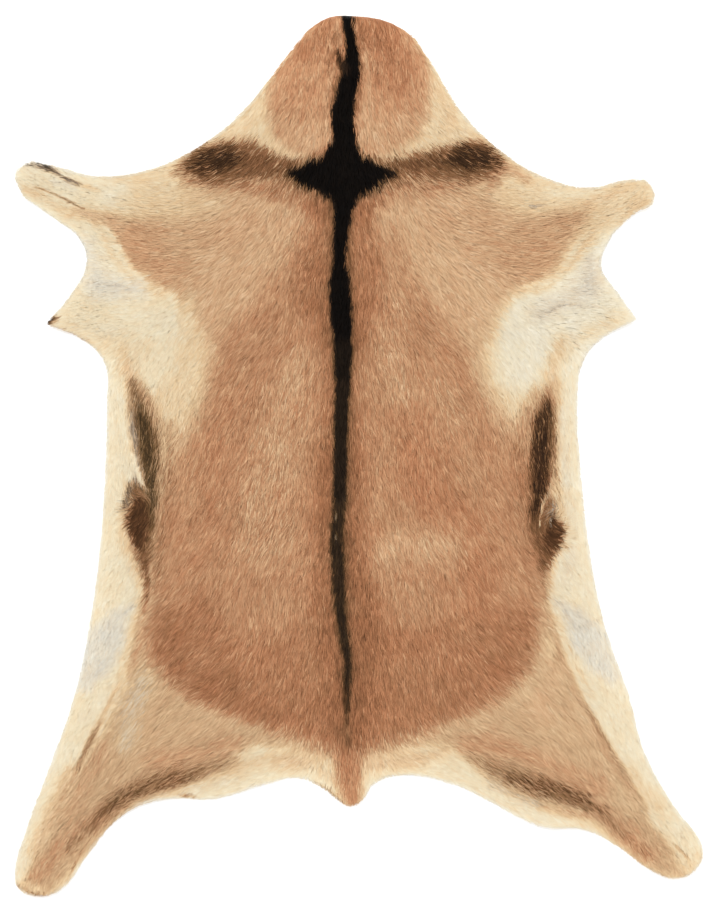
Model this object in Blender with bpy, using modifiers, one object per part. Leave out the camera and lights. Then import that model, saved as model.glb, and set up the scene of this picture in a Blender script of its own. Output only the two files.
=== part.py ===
# A tanned goatskin with the hair on, cut open along the belly and laid flat, hair side up.
# Metres. +Y runs from the tail to the neck, +X to the animal's right side, +Z up from the floor.
# The origin is on the floor, under the middle of the hide's box.

import math
from collections import namedtuple

import bmesh
import bpy
import numpy as np
from mathutils import Vector

# Driving sizes
OVERALL_LENGTH = 1.000
OVERALL_WIDTH = 0.779
LEATHER = 0.0014
COAT_DEEP = 0.0056
COAT_AT_EDGE = 0.0012
COAT_TAPER = 0.034
CREST_EXTRA = 0.0008
CREST_HALF_WIDTH = 0.030

# How finely the hide is cut up, so that it can follow its form
OUTLINE_STEPS = 4
GRID_PITCH = 0.0220
FINE_PITCH = 0.0080
WELD = 1e-5
MILLIMETRE = 0.001

# The edge of the hide, from the neck cut down to the tail, in millimetres from the middle.
# Each row is one landmark on the left side and its fellow on the right side.
Landmark = namedtuple("Landmark", "name left_x left_y right_x right_y corner")
LANDMARKS = (
    Landmark("neck cut, corner", -43, 495, 51, 484, False),
    Landmark("upper neck", -83, 451, 78, 449, False),
    Landmark("throat", -123, 399, 107, 401, False),
    Landmark("neck root", -179, 351, 149, 354, False),
    Landmark("shoulder point", -238, 324, 208, 316, False),
    Landmark("foreleg, front edge", -297, 316, 263, 303, False),
    Landmark("knee, front", -340, 326, 297, 311, False),
    Landmark("foreleg cut, front", -371, 333, 324, 312, True),
    Landmark("foreleg cut", -389, 320, 334, 298, False),
    Landmark("foreleg cut, back", -380, 293, 332, 285, True),
    Landmark("knee, back", -341, 266, 301, 266, False),
    Landmark("forearm, back", -318, 248, 281, 240, False),
    Landmark("armpit", -309, 219, 274, 215, False),
    Landmark("elbow flap, top", -327, 182, 293, 184, False),
    Landmark("elbow flap, point", -354, 149, 314, 154, True),
    Landmark("elbow flap, bottom", -309, 129, 275, 133, False),
    Landmark("chest side", -288, 104, 253, 106, False),
    Landmark("ribs", -286, 51, 247, 62, False),
    Landmark("flank", -288, -29, 251, -23, False),
    Landmark("belly side", -295, -120, 261, -114, False),
    Landmark("groin side", -307, -201, 279, -197, False),
    Landmark("stifle", -323, -275, 305, -273, False),
    Landmark("shin, outer edge", -352, -357, 323, -338, False),
    Landmark("hock, outer edge", -379, -430, 355, -397, False),
    Landmark("hind leg cut, outer", -390, -473, 388, -445, False),
    Landmark("hind leg cut, corner", -386, -491, 386, -463, False),
    Landmark("hind leg cut", -360, -500, 361, -480, False),
    Landmark("hind leg cut, inner", -336, -490, 330, -470, False),
    Landmark("hock, inner edge", -311, -456, 294, -444, False),
    Landmark("thigh, inner edge", -266, -406, 257, -425, False),
    Landmark("thigh, back edge", -220, -390, 206, -421, False),
    Landmark("buttock", -163, -390, 156, -397, False),
    Landmark("rump", -110, -374, 109, -374, False),
    Landmark("rump, top", -69, -366, 48, -363, False),
    Landmark("tail root", -41, -378, 15, -374, False),
    Landmark("tail side", -21, -393, 4, -390, False),
)
NECK_CUT_MIDDLE = (-8, 500)
TAIL_TIP = (-10, -398)
SPINE_X = (-12, -19)

# Where the dried hide stands off the floor: curled ends and edges, in millimetres.
Rise = namedtuple("Rise", "name x y reach_x reach_y height")
RISES = (
    Rise("left foreleg end curls up", -392, 322, 62, 62, 9.0),
    Rise("right foreleg end curls up", 338, 302, 56, 56, 8.0),
    Rise("left elbow flap", -352, 152, 48, 44, 6.5),
    Rise("right elbow flap", 314, 156, 44, 42, 6.0),
    Rise("left flank edge ripple", -300, -48, 46, 88, 5.0),
    Rise("right flank edge ripple", 262, -70, 44, 92, 5.0),
    Rise("left chest edge ripple", -296, 72, 36, 46, 3.5),
    Rise("left groin edge ripple", -318, -236, 46, 76, 4.0),
    Rise("right groin edge ripple", 300, -250, 46, 80, 4.5),
    Rise("left hind leg end", -372, -492, 66, 58, 7.0),
    Rise("right hind leg end", 374, -466, 62, 60, 7.5),
    Rise("left thigh edge ripple", -236, -404, 62, 30, 4.5),
    Rise("right thigh edge ripple", 214, -428, 66, 34, 6.0),
    Rise("left rump edge", -118, -380, 48, 26, 3.0),
    Rise("right rump edge", 76, -374, 46, 26, 3.0),
    Rise("tail end", -10, -400, 34, 34, 4.0),
    Rise("left side of the neck", -112, 420, 50, 62, 4.5),
    Rise("right side of the neck", 98, 424, 46, 60, 4.5),
    Rise("neck cut", 22, 504, 56, 30, 3.5),
    Rise("left shoulder edge", -196, 352, 56, 32, 3.0),
    Rise("left flank pocket", -254, -62, 26, 44, 3.6),
    Rise("right flank pocket", 224, -80, 26, 42, 3.6),
)

# Soft folds that the hide keeps from the animal's shape. Each is a ridge through its own rows,
# and each row gives the ridge's half width and height there, in millimetres.
FoldPoint = namedtuple("FoldPoint", "fold x y half_width height")
FOLD_POINTS = (
    FoldPoint("left flank tuck", -268, 44, 14, 0.0),
    FoldPoint("left flank tuck", -262, 12, 15, 3.2),
    FoldPoint("left flank tuck", -252, -12, 15, 4.4),
    FoldPoint("left flank tuck", -241, -38, 14, 4.6),
    FoldPoint("left flank tuck", -243, -62, 14, 3.6),
    FoldPoint("left flank tuck", -249, -92, 14, 0.0),
    FoldPoint("right flank tuck", 228, 30, 14, 0.0),
    FoldPoint("right flank tuck", 230, -4, 14, 3.0),
    FoldPoint("right flank tuck", 226, -30, 15, 4.2),
    FoldPoint("right flank tuck", 214, -48, 14, 4.6),
    FoldPoint("right flank tuck", 208, -74, 14, 4.2),
    FoldPoint("right flank tuck", 216, -106, 14, 0.0),
    FoldPoint("left thigh crease", -268, -256, 24, 0.0),
    FoldPoint("left thigh crease", -296, -306, 24, 3.2),
    FoldPoint("left thigh crease", -318, -356, 22, 4.0),
    FoldPoint("left thigh crease", -344, -420, 22, 0.0),
    FoldPoint("right thigh crease", 250, -248, 24, 0.0),
    FoldPoint("right thigh crease", 280, -300, 24, 3.4),
    FoldPoint("right thigh crease", 306, -348, 22, 4.0),
    FoldPoint("right thigh crease", 340, -404, 22, 0.0),
    FoldPoint("left foreleg crease", -372, 308, 16, 2.0),
    FoldPoint("left foreleg crease", -340, 292, 16, 3.2),
    FoldPoint("left foreleg crease", -306, 266, 16, 0.0),
    FoldPoint("right foreleg crease", 326, 298, 16, 2.0),
    FoldPoint("right foreleg crease", 290, 284, 18, 3.2),
    FoldPoint("right foreleg crease", 248, 258, 18, 0.0),
    FoldPoint("left armpit wrinkle", -306, 198, 13, 2.0),
    FoldPoint("left armpit wrinkle", -272, 188, 14, 2.8),
    FoldPoint("left armpit wrinkle", -232, 174, 14, 0.0),
    FoldPoint("right armpit wrinkle", 280, 190, 13, 2.0),
    FoldPoint("right armpit wrinkle", 250, 178, 14, 2.8),
    FoldPoint("right armpit wrinkle", 212, 166, 14, 0.0),
)
# The folds that are too narrow for the plain grid.
FINE_FOLDS = ("flank tuck", "foreleg crease", "armpit wrinkle")

# Where the hair is thin and short, and the skin shows.
Patch = namedtuple("Patch", "name x y reach_x reach_y share")
THIN_PATCHES = (
    Patch("left armpit", -262, 198, 66, 70, 0.62),
    Patch("right armpit", 236, 196, 62, 70, 0.62),
    Patch("left groin", -300, -216, 46, 96, 0.55),
    Patch("right groin", 282, -222, 46, 100, 0.55),
    Patch("left foreleg", -350, 300, 60, 54, 0.35),
    Patch("right foreleg", 312, 290, 58, 50, 0.35),
)

# Slow waves in the depth of the coat: length and direction of each, in millimetres and degrees.
Wave = namedtuple("Wave", "length heading phase height")
COAT_WAVES = (
    Wave(142, 18, 0.4, 0.30),
    Wave(97, 74, 1.9, 0.26),
    Wave(71, 131, 4.1, 0.20),
)


def new_collection(name):
    collection = bpy.data.collections.new(name)
    bpy.context.scene.collection.children.link(collection)
    return collection


def outline_points():
    """The landmarks in order round the hide: down the left side and back up the right one."""
    left = [(mark.left_x, mark.left_y, mark.corner) for mark in LANDMARKS]
    right = [(mark.right_x, mark.right_y, mark.corner) for mark in reversed(LANDMARKS)]
    return [(*NECK_CUT_MIDDLE, False), *left, (*TAIL_TIP, False), *right]


def outline_curve(collection):
    """A closed flat curve through the landmarks, smooth but for the cut corners."""
    curve = bpy.data.curves.new("hide outline", "CURVE")
    curve.dimensions = "2D"
    curve.fill_mode = "BOTH"
    curve.resolution_u = OUTLINE_STEPS
    marks = outline_points()
    spline = curve.splines.new("BEZIER")
    spline.bezier_points.add(len(marks) - 1)
    spline.use_cyclic_u = True
    for point, (x, y, corner) in zip(spline.bezier_points, marks):
        point.co = (x * MILLIMETRE, y * MILLIMETRE, 0)
        point.handle_left_type = "VECTOR" if corner else "AUTO"
        point.handle_right_type = "VECTOR" if corner else "AUTO"
    outline = bpy.data.objects.new("hide outline", curve)
    collection.objects.link(outline)
    return outline


def mesh_of_curve(outline):
    """The filled curve as a mesh. The curve is then removed."""
    graph = bpy.context.evaluated_depsgraph_get()
    mesh = bpy.data.meshes.new_from_object(outline.evaluated_get(graph))
    mesh.transform(outline.matrix_world)
    bpy.data.objects.remove(outline)
    return mesh


def scale_to_size(shape):
    """Puts the hide's box on the origin and gives it the overall length and width."""
    places = np.array([vert.co[:] for vert in shape.verts])
    low, high = places.min(0), places.max(0)
    bmesh.ops.translate(shape, verts=shape.verts, vec=-Vector((low + high) / 2))
    width, length = (high - low)[:2]
    scale = Vector((OVERALL_WIDTH / width, OVERALL_LENGTH / length, 1))
    bmesh.ops.scale(shape, verts=shape.verts, vec=scale)


def cut_lines(low, high, pitch):
    """Places of evenly spaced cuts strictly between low and high."""
    count = math.ceil((high - low) / pitch)
    return [low + (high - low) * step / count for step in range(1, count)]


def cut_grid(shape, faces, pitch, low, high):
    """Cuts these faces along X and Y, so that they can follow the hide's form."""
    for axis in (0, 1):
        normal = Vector((1 - axis, axis, 0))
        for place in cut_lines(low[axis], high[axis], pitch):
            edges = {edge for face in faces for edge in face.edges}
            verts = {vert for face in faces for vert in face.verts}
            made = bmesh.ops.bisect_plane(
                shape,
                geom=[*faces, *edges, *verts],
                dist=WELD,
                plane_co=normal * place,
                plane_no=normal,
            )
            faces = [item for item in made["geom"] if isinstance(item, bmesh.types.BMFace)]


def fold_sections():
    """Each stretch of each fold, as its two end rows."""
    pairs = zip(FOLD_POINTS, FOLD_POINTS[1:])
    return [(start, end) for start, end in pairs if start.fold == end.fold]


def fold_box(name):
    """The lowest and highest corner of the ground that a fold covers, in metres."""
    points = [point for point in FOLD_POINTS if point.fold == name]
    low = [min(point[axis] - point.half_width for point in points) for axis in (1, 2)]
    high = [max(point[axis] + point.half_width for point in points) for axis in (1, 2)]
    return [value * MILLIMETRE for value in low], [value * MILLIMETRE for value in high]


def inside(face, low, high):
    middle = face.calc_center_median()
    return all(low[axis] < middle[axis] < high[axis] for axis in (0, 1))


def bump(distance):
    """1 in the middle, 0 from a distance of 1 on, and smooth between."""
    return (1 - np.minimum(distance, 1) ** 2) ** 2


def segment_distance(places, start, end):
    """How far each place is from the line from start to end, and the share of it run there."""
    start, end = np.array(start, float), np.array(end, float)
    along = end - start
    share = np.clip((places - start) @ along / (along @ along), 0, 1)
    return np.linalg.norm(places - start - share[:, None] * along, axis=1), share


def lie(places):
    """How high the flesh side stands off the floor, in millimetres, at places in millimetres."""
    height = np.zeros(len(places))
    for rise in RISES:
        offset = (places - (rise.x, rise.y)) / (rise.reach_x, rise.reach_y)
        height = np.maximum(height, rise.height * bump(np.linalg.norm(offset, axis=1)))
    ridge = np.zeros(len(places))
    for start, end in fold_sections():
        distance, share = segment_distance(places, start[1:3], end[1:3])
        half_width = start.half_width + (end.half_width - start.half_width) * share
        crest = start.height + (end.height - start.height) * share
        ridge = np.maximum(ridge, crest * bump(distance / half_width))
    return np.hypot(height, ridge)


def coat_share(places, edge_distance):
    """The depth of the coat as a share of the deepest: thin at the edge and in the bare patches."""
    taper = np.clip(edge_distance / (COAT_TAPER / MILLIMETRE), 0, 1)
    at_edge = COAT_AT_EDGE / COAT_DEEP
    share = at_edge + (1 - at_edge) * np.sin(taper * math.pi / 2)
    for patch in THIN_PATCHES:
        offset = (places - (patch.x, patch.y)) / (patch.reach_x, patch.reach_y)
        share *= 1 - patch.share * bump(np.linalg.norm(offset, axis=1))
    return share


def thickness(places, edge_distance):
    """Leather and lying coat together, in metres, at places in millimetres."""
    depth = COAT_DEEP * coat_share(places, edge_distance)
    spine = np.interp(places[:, 1], (-500, 500), SPINE_X[::-1])
    depth += CREST_EXTRA * bump(np.abs(places[:, 0] - spine) * MILLIMETRE / CREST_HALF_WIDTH)
    inner = np.clip(edge_distance * MILLIMETRE / COAT_TAPER, 0, 1)
    for wave in COAT_WAVES:
        heading = math.radians(wave.heading)
        along = places @ (math.cos(heading), math.sin(heading))
        swell = np.sin(math.tau * along / wave.length + wave.phase)
        depth += wave.height * MILLIMETRE * swell * inner
    return LEATHER + depth


def outline_distance(places, shape):
    """How far each place is from the cut edge."""
    nearest = np.full(len(places), np.inf)
    for edge in shape.edges:
        if edge.is_boundary:
            start, end = (vert.co.xy / MILLIMETRE for vert in edge.verts)
            nearest = np.minimum(nearest, segment_distance(places, start, end)[0])
    return nearest


def hide_material():
    """Short tan goat hair, seen as one even coat."""
    material = bpy.data.materials.new("goat hair, tan")
    material.use_nodes = True
    shader = material.node_tree.nodes["Principled BSDF"]
    shader.inputs["Base Color"].default_value = (0.42, 0.23, 0.12, 1)
    shader.inputs["Roughness"].default_value = 0.72
    shader.inputs["Metallic"].default_value = 0
    return material


def hide_sheet(outline, name):
    """The flesh side as a sheet on the floor's folds, and the thickness that each point needs."""
    shape = bmesh.new()
    shape.from_mesh(mesh_of_curve(outline))
    bmesh.ops.remove_doubles(shape, verts=shape.verts, dist=WELD)
    bmesh.ops.dissolve_faces(shape, faces=shape.faces)
    scale_to_size(shape)
    low = (-OVERALL_WIDTH / 2, -OVERALL_LENGTH / 2)
    high = (OVERALL_WIDTH / 2, OVERALL_LENGTH / 2)
    cut_grid(shape, shape.faces[:], GRID_PITCH, low, high)
    for side in ("left", "right"):
        for fold in FINE_FOLDS:
            box = fold_box(f"{side} {fold}")
            near = [face for face in shape.faces if inside(face, *box)]
            cut_grid(shape, near, FINE_PITCH, *box)
    bmesh.ops.recalc_face_normals(shape, faces=shape.faces)
    if shape.faces[0].normal.z < 0:
        bmesh.ops.reverse_faces(shape, faces=shape.faces)
    places = np.array([vert.co.xy[:] for vert in shape.verts]) / MILLIMETRE
    thick = thickness(places, outline_distance(places, shape))
    for vert, height in zip(shape.verts, lie(places)):
        vert.co.z = height * MILLIMETRE
    mesh = bpy.data.meshes.new(name)
    shape.to_mesh(mesh)
    shape.free()
    return mesh, thick


def build_hide(collection):
    """One solid: the sheet made as thick as the leather and the hair that lies on it."""
    mesh, thick = hide_sheet(outline_curve(collection), "hide")
    hide = bpy.data.objects.new("hide", mesh)
    collection.objects.link(hide)
    mesh.materials.append(hide_material())
    group = hide.vertex_groups.new(name="thickness")
    thickest = float(thick.max())
    for index, value in enumerate(thick):
        group.add([index], float(value) / thickest, "REPLACE")
    solidify = hide.modifiers.new("leather and coat", "SOLIDIFY")
    solidify.thickness = thickest
    solidify.offset = 1
    solidify.vertex_group = group.name
    solidify.thickness_vertex_group = 0
    triangulate = hide.modifiers.new("triangles", "TRIANGULATE")
    triangulate.quad_method = "SHORTEST_DIAGONAL"
    triangulate.ngon_method = "BEAUTY"
    return hide


for old in list(bpy.data.objects):
    bpy.data.objects.remove(old)
build_hide(new_collection("goatskin"))
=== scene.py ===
# %% [markdown]
# # A goatskin with the hair on
#
# The real thing is one skin. It was cut open along the belly, tanned soft, and dried lying flat.
# It has two sides: buffed leather below, and above it a short coat that lies towards the tail.
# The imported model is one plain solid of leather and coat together. This lesson replaces it with
# a thin sheet of leather and about half a million locks of hair, and keeps its outline and folds.

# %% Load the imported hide
import math
from collections import namedtuple

import bmesh
import bpy
import numpy as np
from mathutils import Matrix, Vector
from mathutils.bvhtree import BVHTree


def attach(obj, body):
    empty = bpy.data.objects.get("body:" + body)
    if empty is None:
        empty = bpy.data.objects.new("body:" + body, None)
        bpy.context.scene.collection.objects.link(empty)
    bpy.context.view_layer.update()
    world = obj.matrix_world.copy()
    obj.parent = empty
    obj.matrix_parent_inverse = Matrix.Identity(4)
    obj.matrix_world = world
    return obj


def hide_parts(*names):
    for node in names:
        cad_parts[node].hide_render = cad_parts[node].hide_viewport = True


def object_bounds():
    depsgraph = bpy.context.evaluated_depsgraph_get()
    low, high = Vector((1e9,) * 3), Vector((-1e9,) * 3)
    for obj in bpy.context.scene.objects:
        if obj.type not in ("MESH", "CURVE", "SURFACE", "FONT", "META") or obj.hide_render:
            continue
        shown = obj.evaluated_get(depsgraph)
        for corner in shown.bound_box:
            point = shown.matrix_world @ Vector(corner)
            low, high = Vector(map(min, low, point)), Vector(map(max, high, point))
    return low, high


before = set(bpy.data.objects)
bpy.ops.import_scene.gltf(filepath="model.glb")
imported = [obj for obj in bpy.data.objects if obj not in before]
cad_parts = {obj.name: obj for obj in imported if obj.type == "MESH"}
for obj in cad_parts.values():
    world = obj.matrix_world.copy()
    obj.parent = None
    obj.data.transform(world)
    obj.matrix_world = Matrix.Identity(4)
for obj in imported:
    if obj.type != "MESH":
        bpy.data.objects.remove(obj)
cad_low, cad_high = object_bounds()
MM = 0.001
print("hide, mm:", [round(side / MM, 1) for side in cad_high - cad_low])

# %% [markdown]
# ## From the photograph to the hide
#
# The photograph looks straight down, so a place in it is a place on the hide after one scale.
# Its markings are written below as they were read there, in pixels, and the hide is measured
# in pixels too where they are painted. The scale comes from the hide's own length.

# %% Scale of the photograph
PHOTO_SIZE = (720, 905)
PHOTO_HIDE_LENGTH = 879.7
PHOTO_HIDE_MIDDLE = (358.8, 454.85)

hide_middle = (cad_low + cad_high) / 2
pixel = (cad_high.y - cad_low.y) / PHOTO_HIDE_LENGTH


def to_photo(x, y):
    """The photograph's pixel at a place on the hide."""
    across = PHOTO_HIDE_MIDDLE[0] + (x - hide_middle.x) / pixel
    return across, PHOTO_HIDE_MIDDLE[1] - (y - hide_middle.y) / pixel


def from_photo(across, down):
    """The place on the hide at a pixel of the photograph."""
    x = hide_middle.x + (across - PHOTO_HIDE_MIDDLE[0]) * pixel
    return x, hide_middle.y + (PHOTO_HIDE_MIDDLE[1] - down) * pixel


print("one pixel, mm:", round(pixel / MM, 3))

# %% [markdown]
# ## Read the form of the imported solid
#
# Each lock of hair needs the height of the skin and the depth of the coat where it grows. Asking
# the solid half a million times is slow, so it is asked once every 2 mm, from above and from below.
# The answers are kept as two maps, softened a little, because the solid's faces are coarse.

# %% Maps of the upper and the lower surface
MAP_PITCH = 2 * MM
MAP_MARGIN = 20 * MM
SOFTEN_PASSES = 9
MAP_END = 1.001  # keeps a place just inside the last square of the map

map_x = np.arange(cad_low.x - MAP_MARGIN, cad_high.x + MAP_MARGIN, MAP_PITCH)
map_y = np.arange(cad_low.y - MAP_MARGIN, cad_high.y + MAP_MARGIN, MAP_PITCH)
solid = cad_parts["hide"].data
solid_tree = BVHTree.FromPolygons(
    [vert.co for vert in solid.vertices], [face.vertices for face in solid.polygons]
)


def heights(start, direction):
    """The solid's height at each place of the map, or nothing beside it."""
    found = np.full((len(map_y), len(map_x)), np.nan)
    for row, y in enumerate(map_y):
        for column, x in enumerate(map_x):
            hit = solid_tree.ray_cast(Vector((x, y, start)), direction)[0]
            if hit:
                found[row, column] = hit.z
    return found


def soften(grid, passes):
    """Averages each place with its neighbours, and grows the map by one place a pass."""
    for _ in range(passes):
        known = np.pad(~np.isnan(grid), 1)
        value = np.where(known, np.pad(grid, 1), 0)
        total, count = 0, 0
        for down, across in ((1, 1), (0, 1), (2, 1), (1, 0), (1, 2)):
            window = np.s_[down : down + len(map_y), across : across + len(map_x)]
            total = total + value[window]
            count = count + known[window]
        grid = np.where(count > 0, total / np.maximum(count, 1), np.nan)
    return grid


def read(grid, x, y):
    """The value of a map at any places, from the four map places round each."""
    column = np.clip((x - map_x[0]) / MAP_PITCH, 0, len(map_x) - MAP_END)
    row = np.clip((y - map_y[0]) / MAP_PITCH, 0, len(map_y) - MAP_END)
    i, j = column.astype(int), row.astype(int)
    s, t = column - i, row - j
    near = grid[j, i] * (1 - s) + grid[j, i + 1] * s
    far = grid[j + 1, i] * (1 - s) + grid[j + 1, i + 1] * s
    return near * (1 - t) + far * t


ABOVE = cad_high.z + MAP_MARGIN
BELOW = cad_low.z - MAP_MARGIN
top_hits = heights(ABOVE, Vector((0, 0, -1)))
upper_map = np.nan_to_num(soften(top_hits, SOFTEN_PASSES))
lower_map = np.nan_to_num(soften(heights(BELOW, Vector((0, 0, 1))), SOFTEN_PASSES))
hide_area = np.count_nonzero(~np.isnan(top_hits)) * MAP_PITCH**2
print("hide area, square metres:", round(hide_area, 3))

# %% [markdown]
# ## The cut edge
#
# The edge of the solid's underside is the line where the knife went. The leather ends about a
# millimetre inside it, and the hair overhangs it in a ragged fringe. How far each place is from
# it is one more map, and the slope of that map points inwards. The same distance function later
# paints the markings.

# %% The outline and the distance to it
WELD = 0.01 * MM
LOOKS_DOWN = -0.5  # the most that the height of a face's normal may be
NO_LENGTH = 1e-12  # stands in for a length of nothing, which can't divide


def underside_of_solid():
    """The faces of the solid that look down, as one mesh."""
    shape = bmesh.new()
    shape.from_mesh(solid)
    bmesh.ops.remove_doubles(shape, verts=shape.verts, dist=WELD)
    shape.normal_update()
    others = [face for face in shape.faces if face.normal.z > LOOKS_DOWN]
    bmesh.ops.delete(shape, geom=others, context="FACES")
    return shape


def edge_loop(shape):
    """The points of the outer edge, in order."""
    edges = [edge for edge in shape.edges if edge.is_boundary]
    first, vert = edges.pop(0).verts
    loop = [first.co.copy()]
    while vert is not first:
        loop.append(vert.co.copy())
        edge = next(linked for linked in vert.link_edges if linked in edges)
        edges.remove(edge)
        vert = edge.other_vert(vert)
    return np.array(loop)


def segments(points, closed=False):
    """The stretches between neighbouring points."""
    ends = list(points[1:]) + ([points[0]] if closed else [])
    return list(zip(points, ends))


def distance_to_segment(x, y, start, end):
    """How far places are from a stretch, and the share of it run at the nearest spot."""
    along_x, along_y = end[0] - start[0], end[1] - start[1]
    square = max(along_x**2 + along_y**2, NO_LENGTH)
    share = np.clip(((x - start[0]) * along_x + (y - start[1]) * along_y) / square, 0, 1)
    return np.hypot(x - start[0] - share * along_x, y - start[1] - share * along_y), share


def depth_inside(x, y, points):
    """How far inside a closed line places are. It is below 0 outside."""
    nearest = np.full(np.shape(x), np.inf)
    inside = np.zeros(np.shape(x), bool)
    for start, end in segments(points, closed=True):
        nearest = np.minimum(nearest, distance_to_segment(x, y, start, end)[0])
        crosses = (start[1] > y) != (end[1] > y)
        rise = end[1] - start[1] if end[1] != start[1] else 1
        inside ^= crosses & (x < start[0] + (y - start[1]) * (end[0] - start[0]) / rise)
    return np.where(inside, nearest, -nearest)


underside = underside_of_solid()
outline = edge_loop(underside)
spot_x, spot_y = np.meshgrid(map_x, map_y)
edge_map = depth_inside(spot_x, spot_y, outline[:, :2])
inwards_y_map, inwards_x_map = np.gradient(edge_map, MAP_PITCH)
print("points round the edge:", len(outline))

# %% [markdown]
# ## A soft random value
#
# Nothing on a skin is even. Its unevenness is made of slow drifts: a value that is random at the
# corners of a net and runs smoothly between them. A noise texture does the same inside a
# material, but here the locks need the value while they are made. Each drift has its own seed, so
# that the script gives the same hide each time.

# %% Drifts
NET = 128


def ease(share):
    """Runs from 0 to 1 as the share does, but starts and ends gently."""
    return share * share * (3 - 2 * share)


def drift(x, y, size, seed):
    """A smooth value from -1 to 1 at each place, with swells about this size."""
    net = np.random.default_rng(seed).uniform(-1, 1, (NET, NET))
    i, j = np.floor(x / size).astype(int), np.floor(y / size).astype(int)
    s, t = ease(x / size - i), ease(y / size - j)
    i, j = i % NET, j % NET
    right, above = (i + 1) % NET, (j + 1) % NET
    near = net[j, i] * (1 - s) + net[j, right] * s
    far = net[above, i] * (1 - s) + net[above, right] * s
    return near * (1 - t) + far * t


print("corners of each drift's net:", NET * NET)

# %% [markdown]
# ## Pigments
#
# A goat's hair holds two pigments: a dark one, from black to brown, and a warm one, from fox red
# to straw. So two numbers say each hair's colour. Shade runs from 0, black, to 1, white. Warmth
# runs from 0, fox red, over 0.5, straw, to 1, grey. Each marking below names one of these mixes.

# %% Shades of the coat
Pigment = namedtuple("Pigment", "shade warmth")
PIGMENTS = {
    "black": Pigment(0.03, 0.30),
    "jet": Pigment(0.065, 0.40),
    "coal": Pigment(0.105, 0.40),
    "soot": Pigment(0.15, 0.12),
    "char": Pigment(0.152, 0.36),
    "bark": Pigment(0.26, 0.10),
    "umber": Pigment(0.37, 0.20),
    "russet": Pigment(0.422, 0.02),
    "rust": Pigment(0.463, 0.05),
    "fox": Pigment(0.54, 0.04),
    "saddle": Pigment(0.578, 0.18),
    "tan": Pigment(0.62, 0.06),
    "fawn": Pigment(0.685, 0.22),
    "rose": Pigment(0.72, 0.24),
    "caramel": Pigment(0.648, 0.22),
    "sand": Pigment(0.68, 0.40),
    "gold": Pigment(0.76, 0.34),
    "straw": Pigment(0.82, 0.50),
    "bone": Pigment(0.83, 0.62),
    "cream": Pigment(0.87, 0.55),
    "ivory": Pigment(0.895, 0.64),
    "ash": Pigment(0.825, 0.84),
    "dove": Pigment(0.80, 0.78),
    "smoke": Pigment(0.60, 0.90),
    "slate": Pigment(0.34, 0.76),
    "peat": Pigment(0.20, 0.50),
    "loam": Pigment(0.38, 0.45),
}
print("pigments:", len(PIGMENTS))

# %% [markdown]
# ## Markings
#
# Where two colours of a goat's coat meet, their hairs mix. The pattern could be painted by hand
# on a picture that wraps the hide, but named shapes can be moved one by one and stay sharp at any
# size. They are laid in layers, as a painter would: broad areas first, then strokes. A stroke is
# a row of points with its half width at each. Soft is how far an edge fades to each side, and
# share is how much of the pigment goes on. Grain says how: at 0 the colours blend, and at 1 each
# hair has one or the other, as where black hairs stand among tan ones.

# %% Broad areas of the coat
FIELDS = "name pigment soft share grain points"
Area = namedtuple("Area", FIELDS)
Stroke = namedtuple("Stroke", FIELDS)


def marks(kind, part, *rows):
    """The areas or strokes of one part. Rows end with their points, in pixels of the photograph."""
    made = [
        kind(name, pigment, soft, share, grain, points)
        for name, pigment, soft, share, grain, *points in rows
    ]
    print(f"{part}: {len(made)} layers, from {made[0].name} to {made[-1].name}")
    return made


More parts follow.
